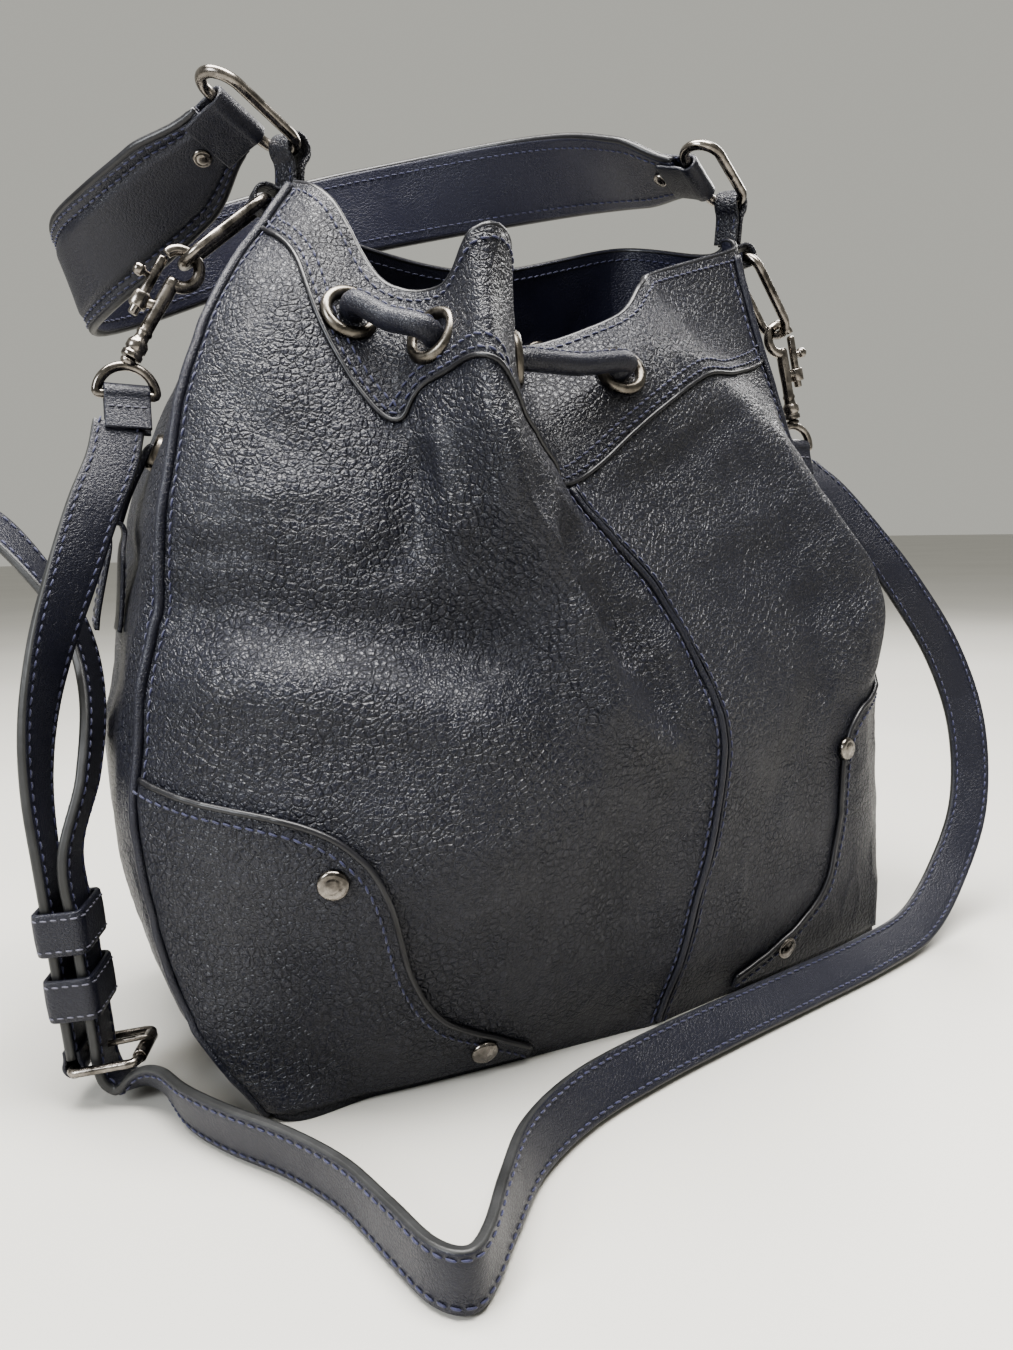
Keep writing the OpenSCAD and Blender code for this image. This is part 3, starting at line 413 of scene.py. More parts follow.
# ---------- mesh makers ----------
def piece(name, verts, faces, body, mats, stands_for=(), slot=None, marks=None):
    mesh = bpy.data.meshes.new(name)
    mesh.from_pydata((np.asarray(verts, float) * 0.001).tolist(), [], faces)
    for m in mats if isinstance(mats, (list, tuple)) else [mats]:
        mesh.materials.append(m)
    if marks is not None:
        mesh.polygons.foreach_set("material_index", marks)
    mesh.polygons.foreach_set("use_smooth", [True] * len(mesh.polygons))
    bm = bmesh.new()
    bm.from_mesh(mesh)
    bmesh.ops.remove_doubles(bm, verts=bm.verts, dist=1e-6)
    bmesh.ops.recalc_face_normals(bm, faces=bm.faces)
    bm.to_mesh(mesh)
    bm.free()
    obj = bpy.data.objects.new(name, mesh)
    bpy.context.collection.objects.link(obj)
    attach(obj, body)
    if stands_for:
        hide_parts(*([stands_for] if isinstance(stands_for, str) else stands_for))
    return obj


def grid_faces(nu, nv, start=0, flip=False, close_u=False, close_v=False):
    faces = []
    for i in range(nu if close_u else nu - 1):
        for j in range(nv if close_v else nv - 1):
            a, b = i * nv + j, ((i + 1) % nu) * nv + j
            c, d = ((i + 1) % nu) * nv + (j + 1) % nv, i * nv + (j + 1) % nv
            quad = [start + a, start + b, start + c, start + d]
            faces.append(quad[::-1] if flip else quad)
    return faces


def shell(outer, inner):
    """Closed slab between two grids of points, joined round their rim."""
    nu, nv = outer.shape[:2]
    verts = np.concatenate([outer.reshape(-1, 3), inner.reshape(-1, 3)])
    m = nu * nv
    faces = grid_faces(nu, nv) + grid_faces(nu, nv, m, flip=True)
    rim = [i * nv for i in range(nu)] + [(nu - 1) * nv + j for j in range(1, nv)]
    rim += [i * nv + nv - 1 for i in range(nu - 2, -1, -1)] + [j for j in range(nv - 2, 0, -1)]
    faces += [[rim[k], m + rim[k], m + rim[(k + 1) % len(rim)], rim[(k + 1) % len(rim)]] for k in range(len(rim))]
    return verts, faces


def resample(points, others, step):
    """Points about `step` mm apart along a line, with other columns carried along."""
    d = np.r_[0, np.cumsum(np.linalg.norm(np.diff(points, axis=0), axis=1))]
    n = max(3, int(round(d[-1] / step)) + 1)
    s = np.linspace(0, d[-1], n)
    both = np.concatenate([points] + [o for o in others], 1)
    out = np.stack([np.interp(s, d, both[:, k]) for k in range(both.shape[1])], 1)
    split = np.cumsum([3] + [o.shape[1] for o in others])[:-1]
    return s, np.split(out, split, axis=1)


def curve(points, per=12):
    return along(points, np.linspace(0, len(points) - 1, (len(points) - 1) * per + 1))


def carried(points):
    """A direction square to a line of points, carried along it without twist."""
    t = unit(np.gradient(points, axis=0))
    x = unit(np.cross(t[0], A([0.31, 0.2, 0.93])))
    out = []
    for d in t:
        x = unit(x - (x @ d) * d)
        out.append(x)
    return A(out)


def end_caps(count, sides):
    return [list(range(sides)), [(count - 1) * sides + k for k in range(sides)][::-1]]


def sweep(points, widths, profile, closed=False, taper=None):
    """A profile of (across, outward) points carried along a line; widths are the across directions."""
    step = np.roll(points, -1, 0) - np.roll(points, 1, 0) if closed else np.gradient(points, axis=0)
    t = unit(step)
    x = unit(widths - (widths * t).sum(1, keepdims=True) * t)
    n = np.cross(t, x)
    prof = np.asarray(profile, float)
    size = np.ones(len(points)) if taper is None else taper
    across = x[:, None] * (prof[None, :, :1] * size[:, None, None])
    verts = (points[:, None] + across + n[:, None] * prof[None, :, 1:]).reshape(-1, 3)
    nv = len(prof)
    faces = grid_faces(len(points), nv, close_u=closed, close_v=True, flip=True)
    return verts, faces if closed else faces + end_caps(len(points), nv)


def circle_profile(r, sides=14):
    a = np.linspace(0, 2 * math.pi, sides, endpoint=False)
    return np.stack([r * np.cos(a), r * np.sin(a)], 1)


def band_profile(width, low, high, edge=0.8, crown=0.0, across=10):
    """Cross-section of a flat leather band with rounded edges and a slightly crowned face."""
    half, mid, r = width / 2, (low + high) / 2, (high - low) / 2
    right = [(half - r * edge + r * edge * math.sin(a), mid + r * math.cos(a)) for a in np.linspace(0, math.pi, 7)]
    left = [(-x, 2 * mid - y) for x, y in right]
    xs = np.linspace(-half + r * edge, half - r * edge, across)[1:-1]
    top = [(x, high + crown * (1 - (x / half) ** 2)) for x in xs]
    bottom = [(x, low) for x in -xs]
    return A(top + right + bottom + left)


def tube(points, r, sides=14, closed=False):
    return sweep(points, carried(points), circle_profile(r, sides), closed=closed)


def tapered(points, r, sides, sizes):
    x = carried(points)
    t = unit(np.gradient(points, axis=0))
    y = np.cross(t, x)
    a = np.linspace(0, 2 * math.pi, sides, endpoint=False)
    ring = np.cos(a)[None, :, None] * x[:, None] + np.sin(a)[None, :, None] * y[:, None]
    verts = (points[:, None] + ring * (r * sizes)[:, None, None]).reshape(-1, 3)
    faces = grid_faces(len(points), sides, close_v=True, flip=True) + end_caps(len(points), sides)
    return verts, faces


def join(parts):
    verts, faces, base = [], [], 0
    for v, f in parts:
        verts.append(np.asarray(v))
        faces += [[base + k for k in face] for face in f]
        base += len(v)
    return np.concatenate(verts), faces


# ---------- stitching ----------
def stitches(points, out, pitch=3.3, length=2.5, r=0.38, slant=0.12):
    """One row of thread: short fat stitches dipping into the leather at both ends."""
    _, (p, n) = resample(points, [out], pitch)
    if len(p) < 3:
        return np.zeros((0, 3)), []
    t = unit(np.gradient(p, axis=0))
    n = unit(n - (n * t).sum(1, keepdims=True) * t)
    side = np.cross(t, n)
    t = unit(t + slant * side)
    shape = [(-0.5, 0.25, -0.35), (-0.36, 0.85, 0.0), (0.0, 1.0, 0.15), (0.36, 0.85, 0.0), (0.5, 0.25, -0.35)]
    a = np.linspace(0, 2 * math.pi, 6, endpoint=False)
    rings = []
    for at, size, lift in shape:
        centre = p + t * (at * length) + n * (lift * r)
        ring = np.cos(a)[None, :, None] * side[:, None] + np.sin(a)[None, :, None] * n[:, None]
        rings.append(centre[:, None] + r * size * ring)
    block = np.stack(rings, 1)
    count = len(p)
    verts = block.reshape(-1, 3)
    faces = []
    for k in range(count):
        base = k * 30
        for i in range(4):
            for j in range(6):
                a0, a1 = base + i * 6 + j, base + i * 6 + (j + 1) % 6
                faces.append([a0, a1, a1 + 6, a0 + 6])
        faces.append([base + j for j in range(5, -1, -1)])
        faces.append([base + 24 + j for j in range(6)])
    return verts, faces


def body_row(uv, shift=0.0, off=0.15, **kw):
    """A row of stitches beside a line of places on the body."""
    if shift:
        uv = shifted(uv, shift)
    u, v = uv[:, 0], uv[:, 1]
    return stitches(on_body(u, v, off), body_out(u, v), **kw)


def flat_row(run, out, pitch, length, r, slant=0.12):
    """A row of stitches on flat leather that faces one way."""
    return stitches(A(run), np.repeat(out[None], len(run), 0), pitch, length, r, slant)


def body_bead(uv, r, off, sides=10, shift=0.0):
    if shift:
        uv = shifted(uv, shift)
    points = on_body(uv[:, 0], uv[:, 1], off)
    _, (points,) = resample(points, [], 1.6)
    return tube(points, r, sides)


# ---------- body leather ----------
def front_level(u):
    return along(FRONT_SEAM_LEVELS, np.asarray(u))


def back_level(u):
    return 4.5 + 0.8 * (np.abs(np.asarray(u) - BACK_SEAM) / 2) ** 2


LEATHER_T = 2.0


def leather_panel(node, u0, u1, low, high, nu, nv):
    """One panel of the body between ribs u0 and u1, from level low to level high."""
    u = np.linspace(u0, u1, nu)
    lo, hi = low(u), high(u)
    f = np.linspace(0, 1, nv)
    uu = np.repeat(u[:, None], nv, 1)
    vv = lo[:, None] + (hi - lo)[:, None] * f[None]
    outer, inner = on_body(uu, vv), on_body(uu, vv, -LEATHER_T)
    verts, faces = shell(outer, inner)
    inner_faces = (nu - 1) * (nv - 1)
    marks = [0] * inner_faces + [1] * inner_faces + [0] * (len(faces) - 2 * inner_faces)
    outside, slot = (TRIM, "trim_leather") if "facing" in node else (PEBBLED, "body_leather")
    piece(node + "_skin", verts, faces, "bag", [outside, INSIDE], node, slot, marks)


def level(value):
    return lambda u: np.full(len(u), float(value))


PANELS = [
    ("front_left_panel", 0, 6, level(0), front_level, 150, 150),
    ("front_right_panel", 6, 10, level(0), front_level, 100, 150),
    ("back_right_panel", 12, 14, level(0), back_level, 80, 150),
    ("back_left_panel", 14, 16, level(0), back_level, 80, 150),
    ("front_facing", 0, 10, front_level, level(6), 220, 50),
    ("back_facing", 12, 16, back_level, level(6), 150, 50),
    ("left_gusset", 16, 18, level(0), level(6), 60, 190),
    ("right_gusset", 10, 12, level(0), level(6), 60, 190),
]
for node, *shape in PANELS:
    leather_panel(node, *shape)


def line(u0, u1, v, count=80):
    u = np.linspace(u0, u1, count)
    return np.stack([u, v(u) if callable(v) else np.full(count, float(v))], 1)


def rise(u, v0, v1, count=90):
    v = np.linspace(v0, v1, count)
    return np.stack([np.full(count, float(u)), v], 1)


front_join = line(0.0, 10.0, front_level, 220)
back_join = line(12.0, 16.0, back_level, 120)
rim = line(0, N_RIBS, 5.985, 420)[:-1]
rim_rows = [line(0.1, 9.9, 5.98, 220), line(12.1, 15.9, 5.98, 120)]
seams = [rise(6, 0.05, 4.15), rise(14, 0.05, 4.45)]
piece("rim_edge", *tube(on_body(*rim.T, -1.0), 1.12, 10, closed=True), "bag", EDGE, (), "trim_leather")
piece("facing_seam_edges", *join([body_bead(join_, 0.75, 0.35) for join_ in (front_join, back_join)]),
      "bag", EDGE, (), "trim_leather")
piece("facing_seam_stitching", *join([body_row(join_, at) for join_ in (front_join, back_join) for at in (2.2, 5.6)]),
      "bag", THREAD, (), "trim_leather")
piece("rim_stitching", *join([body_row(row, -3.2, off) for off in (0.15, -2.2) for row in rim_rows]),
      "bag", THREAD, (), "trim_leather")
piece("centre_seam_edges", *join([
    body_bead(seam, r, off, shift=shift) for seam in seams for r, off, shift in ((1.15, 0.25, 0.0), (0.45, 0.45, -2.0))
]), "bag", SMOOTH, (), "body_leather")
piece("centre_seam_stitching", *join([body_row(seam, at) for seam in seams for at in (-3.4, 2.6)]),
      "bag", THREAD, (), "body_leather")

for name, u in (("front_left", 0), ("front_right", 10), ("back_left", 16), ("back_right", 12)):
    seam = rise(u, 0.03, 5.93, 140)
    piece(name + "_piping_cord", *body_bead(seam, 1.5, 0.8, 12), "bag", SMOOTH, name + "_piping", "trim_leather")
piece("piping_stitching", *join([body_row(rise(u, 0.1, 5.85, 140), s) for u in (0, 10, 12, 16) for s in (-3.6, 3.6)]),
      "bag", THREAD, (), "body_leather")


# ---------- corner patches ----------
PATCH_EDGE = A([
    (0, 1), (0.15, 0.96), (0.38, 0.9), (0.48, 0.83), (0.53, 0.72), (0.56, 0.5), (0.63, 0.32), (0.78, 0.18), (1, 0.05),
])
PATCH_LOW, PATCH_TOP = 0.1, 2.35
PATCHES = [
    ("front_left", 0.06, 2.65), ("front_right", 9.94, 7.1),
    ("back_right", 12.06, 13.55), ("back_left", 15.94, 14.45),
]


def patch_edge(seam, far, count=160):
    """The patch's upper edge, a smooth S from the gusset seam down to the base."""
    line_ = along(PATCH_EDGE, np.linspace(0, len(PATCH_EDGE) - 1, count))
    return np.stack([seam + (far - seam) * line_[:, 0], PATCH_LOW + (PATCH_TOP - PATCH_LOW) * line_[:, 1]], 1)


patch_beads, patch_rows = [], []
for name, seam, far in PATCHES:
    edge = patch_edge(seam, far)
    f = np.linspace(0, 1, 60)
    uu = np.repeat(edge[:, :1], 60, 1)
    vv = PATCH_LOW + (edge[:, 1:] - PATCH_LOW) * f[None]
    outer, inner = on_body(uu, vv, 1.3), on_body(uu, vv, 0.05)
    if far < seam:
        outer, inner = outer[::-1], inner[::-1]
    verts, faces = shell(outer, inner)
    piece(name + "_patch_skin", verts, faces, "bag", PEBBLED, name + "_patch", "trim_leather")
    inward = -1 if far > seam else 1
    patch_beads.append(body_bead(edge, 0.95, 0.95))
    patch_rows.append(body_row(shifted(edge, 3.6 * inward), 0, 1.42))
piece("patch_edges", *join(patch_beads), "bag", EDGE, (), "trim_leather")
piece("patch_stitching", *join(patch_rows), "bag", THREAD, (), "trim_leather")


# ---------- lining, base and board ----------
def rim_faces(columns, count, start):
    """Faces that join the last points of two closed grids, the second one starting at vertex start."""
    tops = [(i * count + count - 1, ((i + 1) % columns) * count + count - 1) for i in range(columns)]
    return [[a, b, start + b, start + a] for a, b in tops]


def lining():
    nu, nv = 240, 70
    u = np.linspace(0, N_RIBS, nu, endpoint=False)
    v = np.linspace(0.16, 4.1, nv)
    uu, vv = np.repeat(u[:, None], nv, 1), np.repeat(v[None], nu, 0)
    p = on_body(uu, vv, -2.6)
    n = body_out(uu, vv)
    slack = 0.9 * lattice(p, 26, 31.0) + 0.5 * lattice(p, 11, 33.0) - 0.8
    p = p + n * slack[..., None]
    centre = A([0, 0, 5.2])
    floor = [centre + (p[:, 0] - centre) * f for f in (0.96, 0.85, 0.65, 0.45, 0.25, 0.08)]
    for k, ring in enumerate(floor):
        ring[:, 2] = 4.6 + 0.5 * lattice(ring, 30, 41.0) + (1.2 if k == 0 else 0)
    rings = np.concatenate([np.stack(floor[::-1], 1), p], 1)
    count = rings.shape[1]
    faces = grid_faces(nu, count, close_u=True, flip=True) + [[i * count for i in range(nu)]]
    inner = rings - np.concatenate([np.zeros((nu, len(floor), 3)) + A([0, 0, 0.5]), n * -0.5], 1)
    verts = np.concatenate([rings.reshape(-1, 3), inner.reshape(-1, 3)])
    m = nu * count
    faces += grid_faces(nu, count, m, close_u=True) + [[m + i * count for i in range(nu)][::-1]]
    faces += rim_faces(nu, count, m)
    piece("lining_bag", verts, faces, "bag", CLOTH, "lining", "lining_cloth")


def base_slab(name, inset, z0, z1, mat, node, slot, lump):
    u = np.linspace(0, N_RIBS, 220, endpoint=False)
    edge = skin(u, np.zeros(220))
    edge = edge * (1 - inset / np.linalg.norm(edge[:, :2], axis=1, keepdims=True))
    fracs = np.r_[np.linspace(0.05, 0.97, 16), 0.99, 1.0]
    drop = np.r_[np.zeros(16), 0.25, 0.8]
    middle = (z0 + z1) / 2
    lower, upper = (
        np.stack([np.c_[edge[:, :2] * f, np.full(220, z + d * (middle - z))] for f, d in zip(fracs, drop)], 1)
        for z in (z0, z1)
    )
    upper[..., 2] += lump * lattice(upper, 28, 51.0)
    count = len(fracs)
    m = 220 * count
    verts = np.concatenate([lower.reshape(-1, 3), upper.reshape(-1, 3)])
    faces = grid_faces(220, count, close_u=True, flip=True) + [[i * count for i in range(220)]]
    faces += grid_faces(220, count, m, close_u=True) + [[m + i * count for i in range(220)][::-1]]
    faces += rim_faces(220, count, m)
    piece(name, verts, faces, "bag", mat, node, slot)


lining()
base_slab("base_leather", 2.4, 0.0, 1.8, PEBBLED, "base_panel", "body_leather", 0.0)
base_slab("base_stiffener", 6, 1.9, 3.9, BOARD, "base_board", "board", 0.1)


# ---------- places and fittings ----------
def basis(x_dir, z_dir):
    z = unit(z_dir)
    x = unit(x_dir - (x_dir @ z) * z)
    return np.stack([x, np.cross(z, x), z], 1)


def placed(points, at, x_dir, z_dir):
    return np.asarray(points, float) @ basis(A(x_dir, float), A(z_dir, float)).T + A(at, float)


def lathe(profile, sides=40):
    """Closed ring or disc turned about Z from (radius, height) points; a radius of 0 closes a pole."""
    a = np.linspace(0, 2 * math.pi, sides, endpoint=False)
    prof = np.asarray(profile, float)
    verts = np.stack([prof[:, :1] * np.cos(a), prof[:, :1] * np.sin(a), np.repeat(prof[:, 1:], sides, 1)], -1)
    return verts.reshape(-1, 3), [f[::-1] for f in grid_faces(len(prof), sides, close_v=True)]


def turned(profile, at, x_dir, z_dir, sides=40):
    verts, faces = lathe(profile, sides)
    return placed(verts, at, x_dir, z_dir), faces


def on_skin(u, v, off):
    u, v = A([float(u)]), A([float(v)])
    return on_body(u, v, off)[0], body_out(u, v)[0]


def grommet(r, hole):
    """Rolled eyelet: a broad domed flange that turns down into its throat, and its washer inside."""
    mid = (r + hole) / 2
    flange = [(r, -0.2), (r - 0.05, 0.45), (r - 0.35, 1.2), (mid + 0.7, 2.05), (mid - 0.3, 2.2), (hole + 0.45, 1.75)]
    throat = [(hole, 0.8), (hole - 0.1, -1.0), (hole - 0.05, -3.0), (hole + 0.3, -3.7)]
    washer = [(mid, -3.9), (r - 0.4, -3.5), (r - 0.2, -2.6), (hole + 0.6, -2.2), (hole + 0.6, -0.2), (r, -0.2)]
    return flange + throat + washer


FRONT_EYELETS = [(1.7, 5.2), (3.0, 5.5), (5.4, 5.4), (7.0, 5.2)]
BACK_EYELETS = [(12.9, 5.3), (13.6, 5.2), (14.6, 5.2), (15.3, 5.3)]
LEFT_EYELET, RIGHT_EYELET = (17, 4.22), (11, 4.25)
SEEN_ACROSS = A([0.02, 0.05, 1])
rings = []
for e in FRONT_EYELETS + BACK_EYELETS:
    at, out = on_skin(*e, 0.0)
    rings.append(turned(grommet(8.8, 5.4), at, SEEN_ACROSS, out))
for e in (LEFT_EYELET, RIGHT_EYELET):
    at, out = on_skin(*e, 0.0)
    rings.append(turned(grommet(6.2, 3.6), at, SEEN_ACROSS, out))
piece("eyelet_rings", *join(rings), "bag", BRONZE, "eyelets", "dark_nickel")


def rivet_profile(r):
    """Domed head with a sunk ring round a raised middle."""
    middle = [(0, 1.75), (0.32 * r, 1.72), (0.52 * r, 1.55), (0.6 * r, 1.3)]
    return middle + [(0.68 * r, 1.42), (0.86 * r, 1.3), (0.97 * r, 0.85), (r, 0.3), (r, -0.6), (0, -0.6)]


PATCH_RIVETS = [
    (1.17, 1.83), (2.0, 0.33), (8.45, 1.8), (7.72, 0.36), (12.68, 1.75), (13.15, 0.42), (15.32, 1.75), (14.85, 0.42),
]
heads = []
for e in PATCH_RIVETS:
    at, out = on_skin(*e, 1.3)
    heads.append(turned(rivet_profile(4.3), at, SEEN_ACROSS, out))
piece("patch_rivet_heads", *join(heads), "bag", NICKEL, "patch_rivets", "dark_nickel")


# ---------- drawstrings ----------
CORD_R = 3.5
CORD_IN, CORD_OUT = -CORD_R - 3, CORD_R + 1.5


def cord_at(e, off):
    u, v = A([float(e[0])]), A([float(e[1])])
    return skin(u, v)[0] + off * body_out(u, v)[0]


def cord_route(before, face, after):
    route = [cord_at(before, CORD_IN)]
    for k, e in enumerate(face):
        if k % 2 == 0:
            start, end = cord_at(e, CORD_OUT), cord_at(face[k + 1], CORD_OUT)
            route += [cord_at(e, CORD_IN), start, (start + end) / 2 - A([0, 0, 1.0])]
        else:
            route += [cord_at(e, CORD_OUT), cord_at(e, CORD_IN)]
    return A(route + [cord_at(after, CORD_IN)])


def knot(e):
    return cord_at((e[0], e[1] - 0.5), 5.5)


def knot_down(e):
    return unit(cord_at((e[0], e[1] - 1.1), 5.5) - knot(e))


def cord_piece(name, node, route, tail_y):
    points = curve(route, 16)
    _, (points,) = resample(points, [], 1.3)
    x = carried(points)
    t = unit(np.gradient(points, axis=0))
    y = np.cross(t, x)
    up = A([0, -0.25, 0.97])
    up = unit(up - (t @ up)[:, None] * t)
    sides = 22
    a = np.linspace(0, 2 * math.pi, sides, endpoint=False)
    ring = np.cos(a)[None, :, None] * x[:, None] + np.sin(a)[None, :, None] * y[:, None]
    seam = (ring * up[:, None]).sum(2)
    radius = CORD_R * (1 - 0.05 * np.maximum(0, seam) ** 8) + 0.10 * lattice(points[:, None] + ring * 4, 3.5, 61.0)
    verts = (points[:, None] + ring * radius[..., None]).reshape(-1, 3)
    faces = grid_faces(len(points), sides, close_v=True, flip=True) + end_caps(len(points), sides)
    parts = [(verts, faces)]
    for e in (LEFT_EYELET, RIGHT_EYELET):
        shift = A([0, tail_y, 0])
        tail = [cord_at(e, -7), cord_at(e, -1), cord_at(e, 3), (cord_at(e, 5.5) + knot(e)) / 2, knot(e) - 3.0 * knot_down(e)]
        parts.append(tube(curve(A(tail) + shift, 10), 1.5, 12))
    piece(name, *join(parts), "bag", SMOOTH, node, "cord_leather")
    piece(name + "_stitching", *stitches(points + up * (CORD_R - 0.12), up, 3.0, 2.3, 0.32),
          "bag", THREAD, (), "cord_leather")


cord_piece("front_cord", "front_drawstring", cord_route((0.6, 5), FRONT_EYELETS, (9, 5.1)), -1.6)
cord_piece("back_cord", "back_drawstring", cord_route((12.3, 5), BACK_EYELETS, (16, 5.1)), 1.6)


# ---------- leather loops ----------
def loop_path(r, tail, half, turns=40):
    """Leather folded round a rod at the origin, its two ends side by side along +X."""
    a = math.acos(min(1, max(-1, half / max(r, half + 0.01))))
    arc = np.linspace(math.pi / 2 - a * 0.9, 2 * math.pi - (math.pi / 2 - a * 0.9), turns)
    bend = np.stack([r * np.cos(arc), r * np.sin(arc)], 1)
    xs = np.linspace(tail, max(r * 1.25, bend[0, 0] + 0.8), 10)
    top = np.stack([xs, np.full(10, half)], 1)
    bottom = np.stack([xs[::-1], np.full(10, -half)], 1)
    flat = np.concatenate([top, bend, bottom])
    soft = flat.copy()
    for _ in range(3):
        soft[1:-1] = (soft[:-2] + 2 * soft[1:-1] + soft[2:]) / 4
    return soft


def leather_loop(at, leave, axis, r, tail, half, width, thick):
    """A leather loop round a rod at `at` along `axis`, its two ends leaving side by side."""
    flat = loop_path(r, tail, half)
    b = basis(A(leave, float), A(axis, float))
    points = A(at) + flat[:, :1] * b[:, 0] + flat[:, 1:] * b[:, 1]
    points = curve(points, 2)
    widths = np.repeat(b[:, 2][None], len(points), 0)
    return sweep(points, widths, band_profile(width, -thick / 2, thick / 2, across=5))


RING_LONG = unit(A([0.8, 0.45, -0.38]))
RING_ACROSS = A([0.45, -0.89, -0.1])
RING_ACROSS = unit(RING_ACROSS - (RING_ACROSS @ RING_LONG) * RING_LONG)
LEFT_LOOP, RIGHT_LOOP = A([-89, 0, 284.0]), A([82, 0, 285.0])
LEFT_LOWER, RIGHT_LOWER = A([-97.7, 0, 268.0]), A([87, 0, 266.0])
LEFT_HANG, RIGHT_HANG = unit(A([-0.778, 0, -0.628])), unit(A([0.55, 0, -0.835]))
RING_STRAIGHT, RING_END = 20.0, 7.0
RING_HALF = RING_STRAIGHT / 2 + RING_END


def oval_ring(at, x_dir, z_dir, r=1.75):
    a = np.linspace(-math.pi / 2, math.pi / 2, 26)
    right = np.stack([RING_STRAIGHT / 2 + RING_END * np.cos(a), RING_END * np.sin(a)], 1)
    xs = np.linspace(RING_STRAIGHT / 2, -RING_STRAIGHT / 2, 14)[1:-1]
    top = np.stack([xs, np.full(12, RING_END)], 1)
    flat = np.concatenate([right, top, -right, -top])
    points = placed(np.c_[flat, np.zeros(len(flat))], at, x_dir, z_dir)
    up = np.repeat(unit(A(z_dir, float))[None], len(points), 0)
    return sweep(points, up, circle_profile(r, 20), closed=True)


RING_FACE = np.cross(RING_LONG, RING_ACROSS)
for side, loop in (("left", LEFT_LOOP), ("right", RIGHT_LOOP)):
    piece(side + "_handle_oval", *oval_ring(loop - RING_HALF * RING_LONG, RING_LONG, RING_FACE),
          side + "_handle_ring", NICKEL, side + "_handle_ring", "dark_nickel")
for side, low, hang in (("left", LEFT_LOWER, LEFT_HANG), ("right", RIGHT_LOWER, RIGHT_HANG)):
    piece(side + "_strap_oval", *oval_ring(low + RING_HALF * hang, hang, np.cross(hang, A([0, 1, 0]))),
          side + "_strap_ring", NICKEL, side + "_strap_ring", "dark_nickel")

TACK = 276.6
for side, loop in (("left", LEFT_LOOP), ("right", RIGHT_LOOP)):
    body = leather_loop(loop, A([0, 0, -1.0]), RING_ACROSS, 4.3, loop[2] - TACK + 6.5, 1.7, 9.5, 1.5)
    piece(side + "_upper_loop", *body, "handle", TRIM, side + "_tab_loop", "trim_leather")
    b = basis(A([0, 0, -1.0]), RING_ACROSS)
    rows = []
    for face in (-1, 1):
        for across in (-3.3, 3.3):
            run = [loop + b @ A([s, face * 2.5, across]) for s in np.linspace(4.5, 9.2, 12)]
            rows.append(flat_row(run, face * b[:, 1], 2.2, 1.7, 0.3))
    piece(side + "_upper_loop_stitching", *join(rows), "handle", THREAD, (), "trim_leather")


def gusset_tab(side, u, lower, out_x):
    """Strip up the middle of the gusset, with a pointed foot, a rivet, a bar tack and the strap ring's loop."""
    nu, nv = 26, 90
    v = np.linspace(4.68, 5.985, nv)
    point = np.clip((v - 4.68) / 0.16, 0.05, 1) ** 0.7
    half = 0.34 * point * (1 - 0.18 * np.clip((v - 5.3) / 0.6, 0, 1))
    f = np.linspace(-1, 1, nu)
    uu, vv = u + f[:, None] * half[None], np.repeat(v[None], nu, 0)
    outer, inner = on_body(uu, vv, 2.0), on_body(uu, vv, 0.05)
    edge_round = 0.7 * np.clip((np.abs(f) - 0.86) / 0.14, 0, 1)[:, None, None] ** 2
    outer = outer + (inner - outer) * edge_round
    strip = shell(outer, inner)
    loop = leather_loop(lower, A([-out_x, 0, 0.25]), A([0, out_x, 0.0]), 4.05, 6.5, 1.3, 8.0, 1.3)
    piece(side + "_gusset_tab", *join([strip, loop]), "bag", TRIM, side + "_tab", "trim_leather")
    rows = []
    for way in (-1, 1):
        vs = np.linspace(4.86, 5.9, 60)
        wide = 0.34 * (1 - 0.18 * np.clip((vs - 5.3) / 0.6, 0, 1)) * 0.74
        rows.append(body_row(np.stack([u + way * wide, vs], 1), 0, 2.12, pitch=2.8, length=2.1, r=0.32))
    tack_at, tack_out = on_skin(u, 5.82, 2.1)
    across = unit(np.cross(tack_out, A([0, 0, 1.0])))
    for k in range(7):
        start = tack_at + A([0, 0, 0.55 * (k - 3)])
        run = [start + across * s for s in np.linspace(-4.2, 4.2, 9)]
        rows.append(flat_row(run, tack_out, 4.2, 3.9, 0.33, slant=0.0))
    piece(side + "_gusset_tab_stitching", *join(rows), "bag", THREAD, (), "trim_leather")
    at, out = on_skin(u, 4.95, 2.0)
    return turned(rivet_profile(3.4), at, SEEN_ACROSS, out)


tab_heads = [gusset_tab("left", 17, LEFT_LOWER, -1), gusset_tab("right", 11, RIGHT_LOWER, 1)]
piece("gusset_tab_rivet_heads", *join(tab_heads),
      "bag", NICKEL, "tab_rivets", "dark_nickel")


